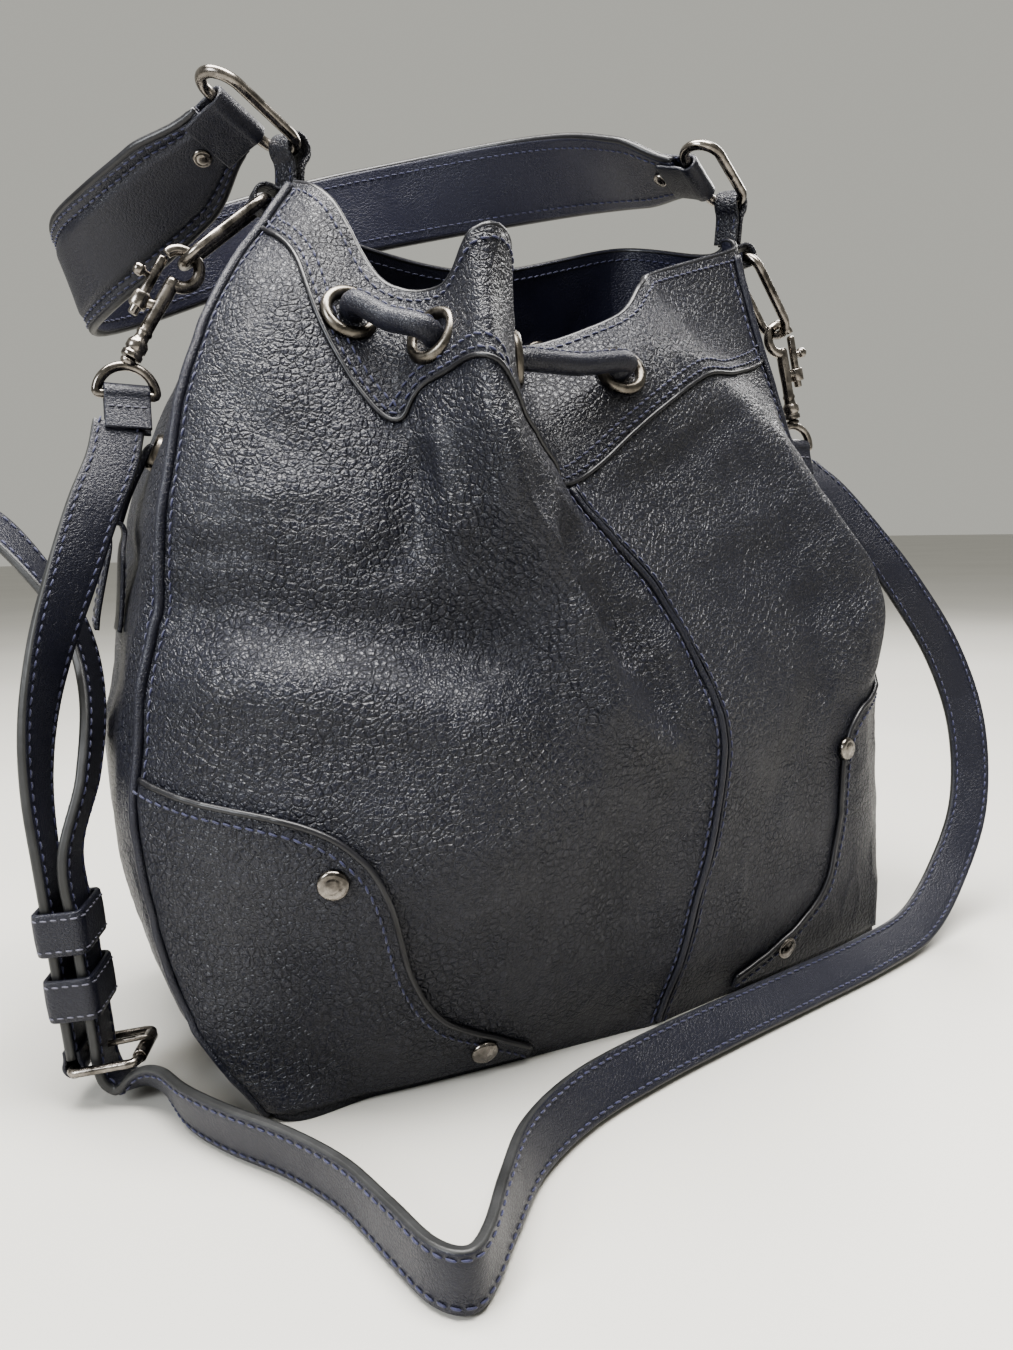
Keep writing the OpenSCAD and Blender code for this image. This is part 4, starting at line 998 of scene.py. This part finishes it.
# ---------- handle ----------
LEFT_BAR = LEFT_LOOP - RING_HALF * RING_LONG - RING_END * RING_ACROSS
RIGHT_BAR = RIGHT_LOOP - RING_HALF * RING_LONG - RING_END * RING_ACROSS
LEFT_LEAVE, RIGHT_LEAVE = unit(A([-0.59, 0.66, -0.46])), unit(A([-0.356, 0.886, 0.3]))
HANDLE = [
    (LEFT_BAR + 6 * LEFT_LEAVE, RING_LONG),
    ([-122, 20, 277], [0.78, 0.4, -0.48]),
    ([-137, 36, 266], [0.66, 0.3, -0.68]),
    ([-149, 54, 258], [0.5, 0.12, -0.86]),
    ([-151, 76, 255], [0.25, 0, -0.97]),
    ([-139, 96, 260], [0.05, 0, -1]),
    ([-114, 110, 272], [0, 0, -1]),
    ([-80, 116, 287], [0, 0, -1]),
    ([-44, 114, 299], [0.05, 0.05, -1]),
    ([-8, 104, 307], [0.15, 0.15, -0.96]),
    ([22, 82, 310], [0.3, 0.3, -0.9]),
    ([43, 54, 308], [0.5, 0.4, -0.75]),
    ([55, 28, 302], [0.7, 0.45, -0.55]),
    (RIGHT_BAR + 6 * RIGHT_LEAVE, RING_LONG),
]
HANDLE_W, HANDLE_T = 31.0, 1.7


def route(rows, per=14, step=1.5):
    p = curve(A([r[0] for r in rows], float), per)
    w = curve(A([r[1] for r in rows], float), per)
    s, (p, w) = resample(p, [w], step)
    t = unit(np.gradient(p, axis=0))
    w = unit(w - (w * t).sum(1, keepdims=True) * t)
    return s, p, w, np.cross(t, w)


hs, hp, hw, hn = route(HANDLE)
ends = np.minimum(hs, hs[-1] - hs)
swell = np.clip((ends - 1) / 26, 0, 1)
handle_size = 0.61 + 0.39 * swell * swell * (3 - 2 * swell)


def handle_profile(low, high, crown):
    a = np.linspace(-1, 1, 41)
    half = HANDLE_W / 2
    pad = crown / (1 + np.exp((np.abs(a) * half - 10.4) / 0.45))
    groove = -0.28 * np.exp(-((np.abs(a) * half - 11.8) / 0.7) ** 2)
    rim = -0.55 * np.clip((np.abs(a) - 0.93) / 0.07, 0, 1) ** 2
    top = np.stack([a * half, high + pad + groove + rim], 1)
    bottom = np.stack([a[::-1] * half, np.full(len(a), low)], 1)
    return np.concatenate([top, [(half + 0.35, (low + high) / 2)], bottom, [(-half - 0.35, (low + high) / 2)]])


piece("handle_face", *sweep(hp, hw, handle_profile(0.05, HANDLE_T, 1.1), taper=handle_size),
      "handle", SMOOTH, "handle_outer", "strap_leather")
piece("handle_back", *sweep(hp, hw, handle_profile(-HANDLE_T, -0.05, 0.0), taper=handle_size),
      "handle", INSIDE, "handle_inner", "strap_leather")
half_w = HANDLE_W / 2 * handle_size[:, None]
edge_size = np.where(ends < 2, 0.8, 1.0)
edge_beads = [tapered(hp + hw * (half_w + 0.1) * way, 1.5, 10, edge_size) for way in (-1, 1)]
piece("handle_edges", *join(edge_beads), "handle", EDGE, (), "strap_leather")
rows = []
for way in (-1, 1):
    for out, face in ((0.765, 1), (0.765, -1), (0.915, 1)):
        rows.append(stitches(hp + hw * (half_w * out) * way + face * hn * (HANDLE_T + 0.05), face * hn, 3.3, 2.5, 0.36))
piece("handle_stitching", *join(rows), "handle", THREAD, (), "strap_leather")

heads = []
for side, bar, leave, way in (("left", LEFT_BAR, LEFT_LEAVE, 1), ("right", RIGHT_BAR, RIGHT_LEAVE, -1)):
    loop = leather_loop(bar, leave, RING_LONG, 2.95, 13, 2.3, 18.4, 1.5)
    piece(side + "_handle_loop", *loop, "handle", SMOOTH, side + "_handle_chape", "strap_leather")
    k = int(np.argmin(np.linalg.norm(hp - (bar + 16 * leave), axis=1)))
    for face in (1, -1):
        seat = HANDLE_T + (0.7 if face > 0 else 0.1)
        heads.append(turned(rivet_profile(3.0), hp[k] + face * hn[k] * seat, hw[k], face * hn[k]))
piece("handle_rivet_heads", *join(heads), "handle", NICKEL, "handle_rivets", "dark_nickel")


# ---------- swivel snap hooks and eyes ----------
LEFT_HOLD, RIGHT_HOLD = LEFT_LOWER + 2 * RING_HALF * LEFT_HANG, RIGHT_LOWER + 2 * RING_HALF * RIGHT_HANG
LEFT_UP, RIGHT_UP = unit(A([0.52, 0, 0.854])), unit(A([-0.22, 0, 0.975]))
HOOK_REACH, SWIVEL_GAP, EYE_R, JAW_R = 33.8, 2.7, 8.7, 5.6
JAW_Z = HOOK_REACH - 1.7
LEFT_SWIVEL, RIGHT_SWIVEL = LEFT_HOLD - HOOK_REACH * LEFT_UP, RIGHT_HOLD - HOOK_REACH * RIGHT_UP
EYE_LEFT, EYE_RIGHT = LEFT_SWIVEL - SWIVEL_GAP * LEFT_UP, RIGHT_SWIVEL - SWIVEL_GAP * RIGHT_UP
STRAP_AXIS = unit(EYE_RIGHT - EYE_LEFT)
EYE_UP = np.cross(STRAP_AXIS, A([0, 1, 0]))
LEFT_EYE_BAR, RIGHT_EYE_BAR = EYE_LEFT - EYE_R * EYE_UP, EYE_RIGHT - EYE_R * EYE_UP


def mirrored(part, flip):
    verts, faces = part
    verts = np.asarray(verts) * A([-1 if flip else 1, 1, 1])
    return verts, [f[::-1] for f in faces] if flip else faces


def hook_parts():
    """Barrel, ringed shank, bolt guide and tapering jaw, swivel at the origin and jaw up."""
    socket = [(0, 4.4), (1.45, 4.4), (1.45, 0.1)]
    collar = [(2.9, 0.0), (3.2, 0.4), (3.2, 1.7), (2.75, 2.1), (2.75, 2.6), (3.2, 3.0), (3.2, 5.0), (2.7, 5.9)]
    ring = [(2.2, 6.6), (2.05, 8.0), (2.4, 8.6), (2.4, 9.3), (2.05, 9.9)]
    shank = [(2.0, 14.0), (2.25, 20.0), (2.2, 27.0), (1.9, 28.2), (0, 28.6)]
    barrel = lathe(socket + collar + ring + shank, 32)
    a = np.radians(np.linspace(-90, 165, 56))
    arc = np.stack([JAW_R * np.cos(a), np.zeros(56), JAW_Z + JAW_R * np.sin(a)], 1)
    jaw = tapered(arc, 1.8, 18, np.r_[np.linspace(1.15, 1.0, 14), np.ones(30), np.linspace(1.0, 0.86, 12)])
    span = A([[-0.5, 0, 18.0], [-2.5, 0, 17.8], [-4.2, 0, 17.3], [-5.6, 0, 17.0]])
    bridge = tapered(span, 1.7, 14, A([1.1, 0.9, 0.95, 1.2]))
    guide = lathe([(1.55, 14.5), (2.3, 14.4), (2.65, 14.8), (2.65, 18.9), (2.3, 19.5), (1.55, 19.4), (1.55, 14.5)], 28)
    guide = (guide[0] + A([-JAW_R, 0, 0]), guide[1])
    return [barrel, jaw, bridge, guide]


def bolt_parts():
    rod = lathe([(0, 12), (1.2, 12.0), (1.5, 12.4), (1.5, 31.6), (1.2, 32.3), (0, 32.6)], 24)
    rod = (rod[0] + A([-JAW_R, 0, 0]), rod[1])
    knob = [(0, 0.0), (0.9, 0.0), (0.9, 2.4), (1.2, 2.7), (1.85, 3.1), (2.0, 3.9), (1.9, 5.0), (1.4, 5.8), (0, 6.1)]
    verts, faces = lathe(knob, 24)
    verts = placed(verts, A([-JAW_R, 0, 25]), A([0, 0, 1.0]), A([-1.0, 0, 0]))
    return [rod, (verts, faces)]


def eye_parts(swivel, up, bar):
    pin, collar = [(0, 4.0), (1.1, 4.0), (1.4, 3.7), (1.4, -0.3)], [(2.2, -0.4), (2.6, -0.9), (2.4, -1.7), (1.6, -2.5)]
    stem = turned(pin + collar + [(0, -2.7)], swivel, A([1.0, 0, 0]), up, 28)
    a = np.linspace(0, math.pi, 40)
    arc = np.stack([EYE_R * np.cos(a), EYE_R * np.sin(a)], 1)
    xs = np.linspace(-EYE_R, EYE_R, 22)[1:-1]
    flat = np.concatenate([arc, np.stack([xs, np.zeros(20)], 1)])
    for _ in range(2):
        flat = (np.roll(flat, 1, 0) + 2 * flat + np.roll(flat, -1, 0)) / 4
    points = bar + flat[:, :1] * STRAP_AXIS + flat[:, 1:] * EYE_UP
    return [stem, sweep(points, np.repeat(A([[0, 1.0, 0]]), len(points), 0), circle_profile(1.5, 16), closed=True)]


for side, swivel, up, bar, flip in (
    ("left", LEFT_SWIVEL, LEFT_UP, LEFT_EYE_BAR, False),
    ("right", RIGHT_SWIVEL, RIGHT_UP, RIGHT_EYE_BAR, True),
):
    for label, parts in (("hook", hook_parts()), ("bolt", bolt_parts())):
        verts, faces = join([mirrored(p, flip) for p in parts])
        verts = placed(verts, swivel, A([1.0, 0, 0]), up)
        piece(f"{side}_snap_{label}", verts, faces, f"{side}_{label}", NICKEL, f"{side}_{label}", "dark_nickel")
    piece(side + "_swivel_eye", *join(eye_parts(swivel, up, bar)), "bag", NICKEL, side + "_eye", "dark_nickel")


# ---------- folded pulls on the drawstring ----------
for side, e, out_x in (("left", LEFT_EYELET, -1), ("right", RIGHT_EYELET, 1)):
    at, down = knot(e), knot_down(e)
    b = basis(A([out_x, 0, 0.0]), -down)
    half = [(-3.2, -30.5), (-3.3, -26), (-3.0, -20), (-2.4, -12), (-1.9, -5), (-2.2, -0.5), (-1.4, 2.0)]
    fold = curve(A(half + [(0, 2.7)] + [(-x, z) for x, z in half[::-1]], float), 6)
    points = at + fold[:, :1] * b[:, 0] + fold[:, 1:] * b[:, 2]
    widths = np.repeat(b[:, 1][None], len(points), 0)
    low = np.clip(-fold[:, 1] / 8, 0, 1)
    part = sweep(points, widths, band_profile(18, -0.65, 0.65, across=7), taper=0.42 + 0.58 * low)
    piece(side + "_cord_pull", *part, side + "_cord_tab", SMOOTH, side + "_cord_tab", "trim_leather")
    rows = []
    for face in (-1, 1):
        for across in (-6.8, 6.8):
            run = [at + b @ A([face * np.interp(s, [8, 20, 29], [2.95, 3.75, 4.0]), across, -s])
                   for s in np.linspace(10, 28, 14)]
            rows.append(flat_row(run, face * b[:, 0], 2.8, 2.1, 0.32))
        run = [at + b @ A([face * 3.95, s, -27.5]) for s in np.linspace(-6.5, 6.5, 10)]
        rows.append(flat_row(run, face * b[:, 0], 2.8, 2.1, 0.32))
    piece(side + "_cord_pull_stitching", *join(rows), side + "_cord_tab", PALE_THREAD, (), "trim_leather")


# ---------- shoulder strap ----------
LEFT_DROP, RIGHT_DROP = unit(A([-0.3, -0.35, -0.9])), unit(A([0.42, -0.3, -0.86]))
BUCKLE_BAR = A([-173, -28, 12.0])
STACK = unit(A([0.92, -0.35, 0.12]))
RUN_UP = unit(A([-0.07, -0.02, 0.99]))
STRAP_FLAT = A([0.35, 0.93, 0.03])
LONG_OFFSET = 7.0


def short_line(s):
    return BUCKLE_BAR + s * RUN_UP


def long_line(s):
    return BUCKLE_BAR + LONG_OFFSET * STACK + s * RUN_UP


SHORT_STRAP = [
    (short_line(3), STRAP_FLAT),
    (short_line(20), STRAP_FLAT),
    (short_line(40), STRAP_FLAT),
    (short_line(62), STRAP_FLAT),
    ([-178, -27, 94], [0.45, 0.88, 0]),
    ([-176, -26.5, 114], [0.6, 0.78, 0]),
    ([-171, -24.5, 134], [0.75, 0.6, 0]),
    ([-164, -19.5, 153], [0.88, 0.4, -0.05]),
    ([-156.5, -13.5, 172], [0.95, 0.2, -0.1]),
    ([-150, -8, 186], [1, 0.05, -0.1]),
    (LEFT_EYE_BAR + 10.8 * LEFT_DROP, STRAP_AXIS),
]
LONG_STRAP = [
    ([-203, 30, 176], [0.5, 0.75, 0.5]),
    ([-194.8, 20.7, 175], [0.45, 0.8, 0.4]),
    ([-184, 13.5, 168], [0.4, 0.85, 0.3]),
    ([-173.5, 5.5, 155], [0.35, 0.9, 0.2]),
    ([-164, -2.5, 138], [0.35, 0.92, 0.1]),
    ([-161, -14, 118], [0.35, 0.93, 0]),
    ([-164.2, -25.2, 96], [0.35, 0.93, 0]),
    (long_line(62), STRAP_FLAT),
    (long_line(40), STRAP_FLAT),
    (long_line(20), STRAP_FLAT),
    (long_line(8), STRAP_FLAT),
    (long_line(-2), STRAP_FLAT),
    ([-164.5, -31.6, 5.6], [0.33, 0.93, -0.05]),
    ([-160, -34.5, 3.9], [0.35, 0.9, -0.15]),
    ([-155, -41, 6.2], [0.35, 0.7, -0.6]),
    ([-151, -51, 8], [0.25, 0.4, -0.88]),
    ([-147, -65, 8.2], [0.15, 0.2, -0.96]),
    ([-139, -80, 8.2], [0.1, 0.15, -0.98]),
    ([-127, -98, 8.2], [0.1, 0.1, -0.98]),
    ([-118, -117, 8.2], [0.05, 0.05, -1]),
    ([-113, -137, 8.2], [0, 0, -1]),
    ([-109, -153, 8.2], [0, 0, -1]),
    ([-103, -159, 8.2], [0, 0, -1]),
    ([-96, -154, 8.2], [0, -0.05, -1]),
    ([-85, -140, 8.2], [0.05, -0.2, -0.97]),
    ([-70, -123, 8], [0.1, -0.35, -0.92]),
    ([-48, -109, 7.5], [0.15, -0.5, -0.85]),
    ([-20, -99, 7], [0.2, -0.6, -0.75]),
    ([14, -90, 6.5], [0.2, -0.7, -0.65]),
    ([52, -81, 6], [0.2, -0.75, -0.6]),
    ([90, -72, 6], [0.3, -0.75, -0.55]),
    ([124, -62, 8], [0.5, -0.7, -0.5]),
    ([152, -51, 22], [0.75, -0.55, -0.35]),
    ([169, -45, 46], [0.85, -0.5, -0.15]),
    ([173, -39, 78], [0.88, -0.48, 0]),
    ([166, -32, 108], [0.9, -0.42, 0.1]),
    ([152, -24, 135], [0.93, -0.35, 0.15]),
    ([138, -16, 157], [0.96, -0.2, 0.1]),
    ([126, -9, 174], [1, -0.1, 0]),
    (RIGHT_EYE_BAR + 10.8 * RIGHT_DROP, STRAP_AXIS),
]
STRAP_W, STRAP_T = 15.0, 3.0


def strap_piece(name, rows, node):
    s, p, w, n = route(rows)
    across = 22
    half, thick = STRAP_W / 2, STRAP_T / 2
    a = np.linspace(-1, 1, across)
    stitch_at = 5.5
    crown = 0.22 * (1 - a**2) - 0.22 * np.exp(-((np.abs(a) * half - stitch_at) / 0.55) ** 2)
    face = np.stack([a * (half - 0.45), thick + crown - 0.15], 1)
    back = np.stack([a[::-1] * (half - 0.45), -thick - crown[::-1] * 0.6 + 0.15], 1)
    sides = [(half - 0.08, thick - 0.75), (half, 0.45), (half - 0.12, 0.0), (half, -0.45), (half - 0.08, -thick + 0.75)]
    profile = np.concatenate([face, sides, back, [(-x, -y) for x, y in sides]])
    verts, faces = sweep(p, w, profile)
    count = len(profile)
    edge = [across - 1 <= k <= across + 4 or k >= 2 * across + 4 for k in range(count)]
    marks = [int(edge[k]) for _ in range(len(p) - 1) for k in range(count)] + [1, 1]
    piece(name, verts, faces, "strap", [SMOOTH, STRAP_EDGE], node, "strap_leather", marks)
    rows_ = [stitches(p + w * stitch_at * way + n * side * (thick - 0.05), n * side, 3.4, 2.5, 0.36)
             for way in (-1, 1) for side in (1, -1)]
    piece(name + "_stitching", *join(rows_), "strap", THREAD, (), "strap_leather")
    return s[-1]


short_length = strap_piece("short_strap_leather", SHORT_STRAP, "short_strap")
long_length = strap_piece("long_strap_leather", LONG_STRAP, "long_strap")
print("strap lengths, mm:", round(short_length), round(long_length), "handle", round(hs[-1]))


TACK_AT = 5.2  # from the bar to the row of stitches that closes a strap loop


def strap_loop(name, node, bar, along_bar, leave, tail):
    verts, faces = leather_loop(bar, leave, along_bar, 2.7, tail, 1.9, 13.4, 1.3)
    piece(name, verts, faces, "strap", SMOOTH, node, "trim_leather")
    b = basis(A(leave, float), A(along_bar, float))
    if TACK_AT < tail:
        rows_ = []
        for face in (-1, 1):
            run = [bar + b @ A([TACK_AT, face * 2.65, s]) for s in np.linspace(-4.6, 4.6, 10)]
            rows_.append(flat_row(run, face * b[:, 1], 2.3, 1.8, 0.3, slant=0))
        piece(name + "_stitching", *join(rows_), "strap", PALE_THREAD, (), "trim_leather")


strap_loop("left_strap_end_loop", "left_strap_chape", LEFT_EYE_BAR, STRAP_AXIS, LEFT_DROP, 12)
strap_loop("right_strap_end_loop", "right_strap_chape", RIGHT_EYE_BAR, STRAP_AXIS, RIGHT_DROP, 12)
strap_loop("buckle_end_loop", "buckle_chape", BUCKLE_BAR, STRAP_FLAT, RUN_UP, 5)


def keeper_piece(name, s, body, node):
    """Stitched leather band bent round both layers of strap."""
    middle = (short_line(s) + long_line(s)) / 2
    b = basis(STACK, RUN_UP)
    hx, hy, r = (LONG_OFFSET + STRAP_T + 1.2 + 1.6) / 2, (STRAP_W + 1 + 1.6) / 2, 1.6
    flat = []
    for cx, cy, start in ((hx - r, hy - r, 0), (-hx + r, hy - r, 90), (-hx + r, -hy + r, 180), (hx - r, -hy + r, 270)):
        for angle in np.radians(start + np.linspace(0, 90, 9)):
            flat.append((cx + r * math.cos(angle), cy + r * math.sin(angle)))
    flat = A(flat)
    points = middle + flat[:, :1] * b[:, 0] + flat[:, 1:] * b[:, 1]
    fine = np.concatenate([points, points[:1]])
    _, (fine,) = resample(fine, [], 0.8)
    fine = fine[:-1]
    up = np.repeat(b[:, 2][None], len(fine), 0)
    part = sweep(fine, up, band_profile(13, -0.8, 0.8, crown=0.25, across=9), closed=True)
    piece(name, *part, body, SMOOTH, node, "trim_leather")
    t = unit(np.roll(fine, -1, 0) - np.roll(fine, 1, 0))
    out = np.cross(t, up)
    out *= np.sign((out * (fine - middle)).sum(1, keepdims=True))
    rows_ = [stitches(fine + up * way * 4.7 + out * 0.85, out, 2.8, 2.1, 0.32) for way in (-1, 1)]
    piece(name + "_stitching", *join(rows_), body, PALE_THREAD, (), "trim_leather")


keeper_piece("lower_keeper_band", 22, "strap", "lower_keeper")
keeper_piece("upper_keeper_band", 42, "upper_keeper", "upper_keeper")

BUCKLE_L, BUCKLE_HALF, WIRE, PRONG = 19.0, 9.5, 1.4, 0.9


def buckle_points(points):
    b = basis(STACK, np.cross(STACK, STRAP_FLAT))
    return BUCKLE_BAR + np.asarray(points, float) @ b.T


def buckle():
    corners = [(0, -BUCKLE_HALF), (BUCKLE_L, -BUCKLE_HALF), (BUCKLE_L, BUCKLE_HALF), (0, BUCKLE_HALF)]
    r, flat = 2.2, []
    for (x, y), start in zip(corners, (180, 270, 0, 90)):
        cx, cy = x + (r if x == 0 else -r), y + (r if y < 0 else -r)
        for angle in np.radians(start + np.linspace(0, 90, 10)):
            flat.append((cx + r * math.cos(angle), cy + r * math.sin(angle), 0))
    points = np.concatenate([A(flat), A(flat[:1])])
    _, (points,) = resample(points, [], 0.9)
    points = points[:-1]
    thick = np.where(points[:, 0] > BUCKLE_L - 1, 1.0, 0.95)
    x = np.repeat(A([[0, 0, 1.0]]), len(points), 0)
    verts, faces = sweep(points, x, circle_profile(WIRE, 16), closed=True, taper=thick)
    roller = lathe([(1.45, -6.2), (1.9, -6.3), (2.05, -6.0), (2.05, 6.0), (1.9, 6.3), (1.45, 6.2), (1.45, -6.2)], 24)
    roller = (placed(roller[0], A([BUCKLE_L, 0, 0.0]), A([1.0, 0, 0]), A([0, 1.0, 0])), roller[1])
    verts, faces = join([(verts, faces), roller])
    piece("buckle_wire_frame", buckle_points(verts), faces, "strap", NICKEL, "buckle_frame", "dark_nickel")
    start, turn = A([0, 0, WIRE + 0.8]), math.radians(88)
    way = A([math.sin(turn), 0, math.cos(turn)])
    rod = tapered(A([start + way * s for s in np.linspace(0, BUCKLE_L + 1.8, 24)]), PRONG, 14,
                  np.r_[np.linspace(1.25, 1.0, 8), np.linspace(1.0, 0.95, 12), 0.85, 0.7, 0.5, 0.25])
    bore = WIRE + 0.05
    collar = lathe([(bore, -1.1), (2.4, -1.1), (2.6, -0.8), (2.6, 0.8), (2.4, 1.1), (bore, 1.1), (bore, -1.1)], 28)
    collar = (placed(collar[0], A([0, 0, 0.0]), A([1.0, 0, 0]), A([0, 1.0, 0])), collar[1])
    verts, faces = join([rod, collar])
    piece("buckle_wire_prong", buckle_points(verts), faces, "buckle_prong", NICKEL, "buckle_prong", "dark_nickel")


buckle()


# ---------- floor, backdrop and light ----------
def stage_piece(name, verts, faces, mat):
    mesh = bpy.data.meshes.new(name)
    mesh.from_pydata(verts, [], faces)
    mesh.materials.append(mat)
    mesh.polygons.foreach_set("use_smooth", [True] * len(mesh.polygons))
    obj = bpy.data.objects.new(name, mesh)
    bpy.context.collection.objects.link(obj)


floor_mat = plain("floor", (0.50, 0.49, 0.46), (0.54, 0.53, 0.50), 0.5, 3)
stage_piece("floor", [(-9, -9, 0), (9, -9, 0), (9, 9, 0), (-9, 9, 0)], [[0, 1, 2, 3]], floor_mat)


def area_light(name, at, target, size, power, color):
    data = bpy.data.lights.new(name, "AREA")
    data.shape = "RECTANGLE"
    data.size, data.size_y = size
    data.energy = power
    data.color = color
    obj = bpy.data.objects.new(name, data)
    obj.location = at
    obj.rotation_euler = (Vector(target) - Vector(at)).to_track_quat("-Z", "Y").to_euler()
    bpy.context.collection.objects.link(obj)


area_light("ceiling", (-0.1, -0.12, 1.15), (0, 0.0, 0.05), (1.1, 0.6), 34, (1.0, 0.98, 0.95))
area_light("window_left", (-1.2, -0.45, 0.70), (0, 0, 0.14), (0.45, 0.6), 12, (0.94, 0.97, 1.0))
area_light("rear_right", (0.9, 0.6, 0.9), (0, 0, 0.12), (0.5, 0.5), 8, (1.0, 0.98, 0.95))
world = bpy.data.worlds.new("world")
world.use_nodes = True
world.node_tree.nodes["Background"].inputs["Color"].default_value = (0.90, 0.89, 0.82, 1)
world.node_tree.nodes["Background"].inputs["Strength"].default_value = 0.36
bpy.context.scene.world = world
bpy.context.scene.view_settings.look = "AgX - Medium High Contrast"
bpy.context.scene.view_settings.exposure = 0.35
